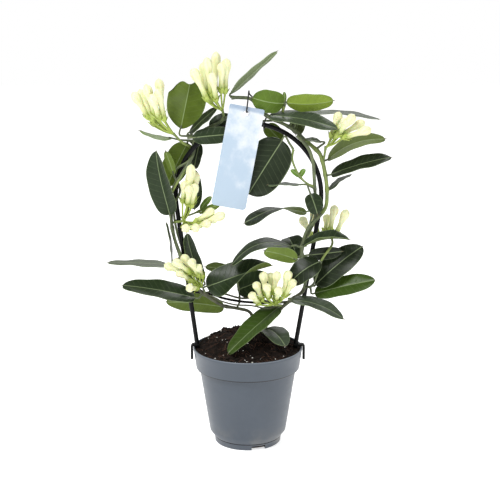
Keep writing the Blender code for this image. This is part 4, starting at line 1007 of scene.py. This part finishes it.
makeUmbel("buds_left", [(-79.4, 248, -1.4), (-74, 248.5, -6.5), (-68, 249.5, -10)], [
    (-70, 269, -14, -67, 293, -19), (-64, 272, -16, -60, 311, -20), (-58, 270, -12, -55.5, 303, -12),
    (-65, 266, -18, -62, 288, -30), (-68, 245, -16, -67, 240, -34), (-55, 244, -16, -24, 257, -20),
    (-57, 248, -9, -32, 252, -9), (-60, 243, -14, -40, 247, -26), (-66, 243, -12, -54, 241, -32),
    (-61, 264, -17, -56, 290, -24), (-62, 270, -8, -62, 300, -12), (-58, 247, -20, -36, 262, -14),
])
makeUmbel("buds_low_left", [(-54.7, 175.5, -10.6), (-50, 176, -15)], [
    (-54, 174, -22, -66, 175, -34), (-59, 181, -16, -78, 194, -20), (-65, 190, -14, -91, 201, -16),
    (-62, 191, -20, -81, 206, -28), (-57, 188, -14, -71, 212, -17), (-53, 187, -22, -63, 207, -30),
    (-49, 186, -18, -55, 200, -26),
])
makeUmbel("buds_low_middle", [(37, 154.7, -5.4), (29, 155.5, -15)], [
    (19, 166, -20, 17, 193, -26), (28, 168, -22, 32.5, 193, -30), (25, 168, -15, 25, 192, -16),
    (38, 166, -20, 45, 194, -29), (40, 164, -22, 51, 184, -30), (31, 161, -26, 34.5, 174, -44),
    (23, 162, -28, 20.5, 178, -42), (16, 160, -22, 8, 181, -30), (13, 156, -24, 3, 168, -36),
])
makeUmbel("buds_low_right", [
    (79.7, 205.1, -14.2), (84, 212, -14), (89, 219, -13.5), (91.5, 224, -9), (91, 229, -1), (88, 233, 8),
], [
    (94, 232, 16, 107, 262, 20), (88, 235, 16, 94, 267, 20), (83, 234, 22, 86, 257, 30),
    (76, 232, 18, 70, 261, 24), (71, 230, 16, 57, 254, 22),
])
print("bud clusters made")

# the stage: floor, light and camera

studio = {
    "cameraAt": (0.0024, -1.3, 0.522), "pitch": 76.8, "focal": 88.7, "sensor": 36.0, "floorHalf": 4.0,
    "lights": (  # name, place, size, watts
        ("key", (-0.8, -1.0, 1.7), 0.7, 25.0), ("fill", (1.4, -1.3, 0.8), 1.2, 6.0),
        ("back", (0.3, 1.4, 1.7), 1.2, 12.0),
    ),
    "lightsTo": (0.0, 0.0, 0.24), "sky": 0.52, "floorGlow": 0.62,
}


def makeStage():
    mesh, half = bpy.data.meshes.new("floor"), studio["floorHalf"]
    corners = [(x * half, y * half, 0) for x, y in ((-1, -1), (1, -1), (1, 1), (-1, 1))]
    mesh.from_pydata(corners, [], [(0, 1, 2, 3)])
    mesh.materials.append(newFinish(
        "floor white", Base_Color=(0.93, 0.93, 0.93, 1.0), Roughness=0.8, Specular_IOR_Level=0.1,
        Emission_Color=(1.0, 1.0, 1.0, 1.0), Emission_Strength=studio["floorGlow"])[0])
    floor = newObject("floor", mesh)
    floor.location.z = -0.0002
    for name, place, size, watts in studio["lights"]:
        lamp = bpy.data.lights.new(name, "AREA")
        lamp.size, lamp.energy = size, watts
        source = newObject(name, lamp)
        source.location = place
        x, y, z = np.array(studio["lightsTo"]) - np.array(place)
        source.rotation_euler = (math.atan2(math.hypot(x, y), -z), 0.0, math.atan2(-x, y))
    world = bpy.data.worlds.new("soft sky")
    world.use_nodes = True
    backdrop = world.node_tree.nodes["Background"].inputs
    shown = newNode(world.node_tree, "LightPath", {}).outputs["Is Camera Ray"]
    feed(backdrop["Color"], (1.0, 1.0, 1.0, 1.0))
    feed(backdrop["Strength"], maths("MAXIMUM", shown, studio["sky"]))
    bpy.context.scene.world = world
    lens = bpy.data.cameras.new("camera")
    lens.lens, lens.sensor_width, lens.clip_start = studio["focal"], studio["sensor"], 0.01
    camera = newObject("camera", lens)
    camera.location = studio["cameraAt"]
    camera.rotation_euler = (math.radians(studio["pitch"]), 0.0, 0.0)
    bpy.context.scene.camera = camera
    bpy.context.scene.view_settings.view_transform = "Standard"


makeStage()
print("stage made")
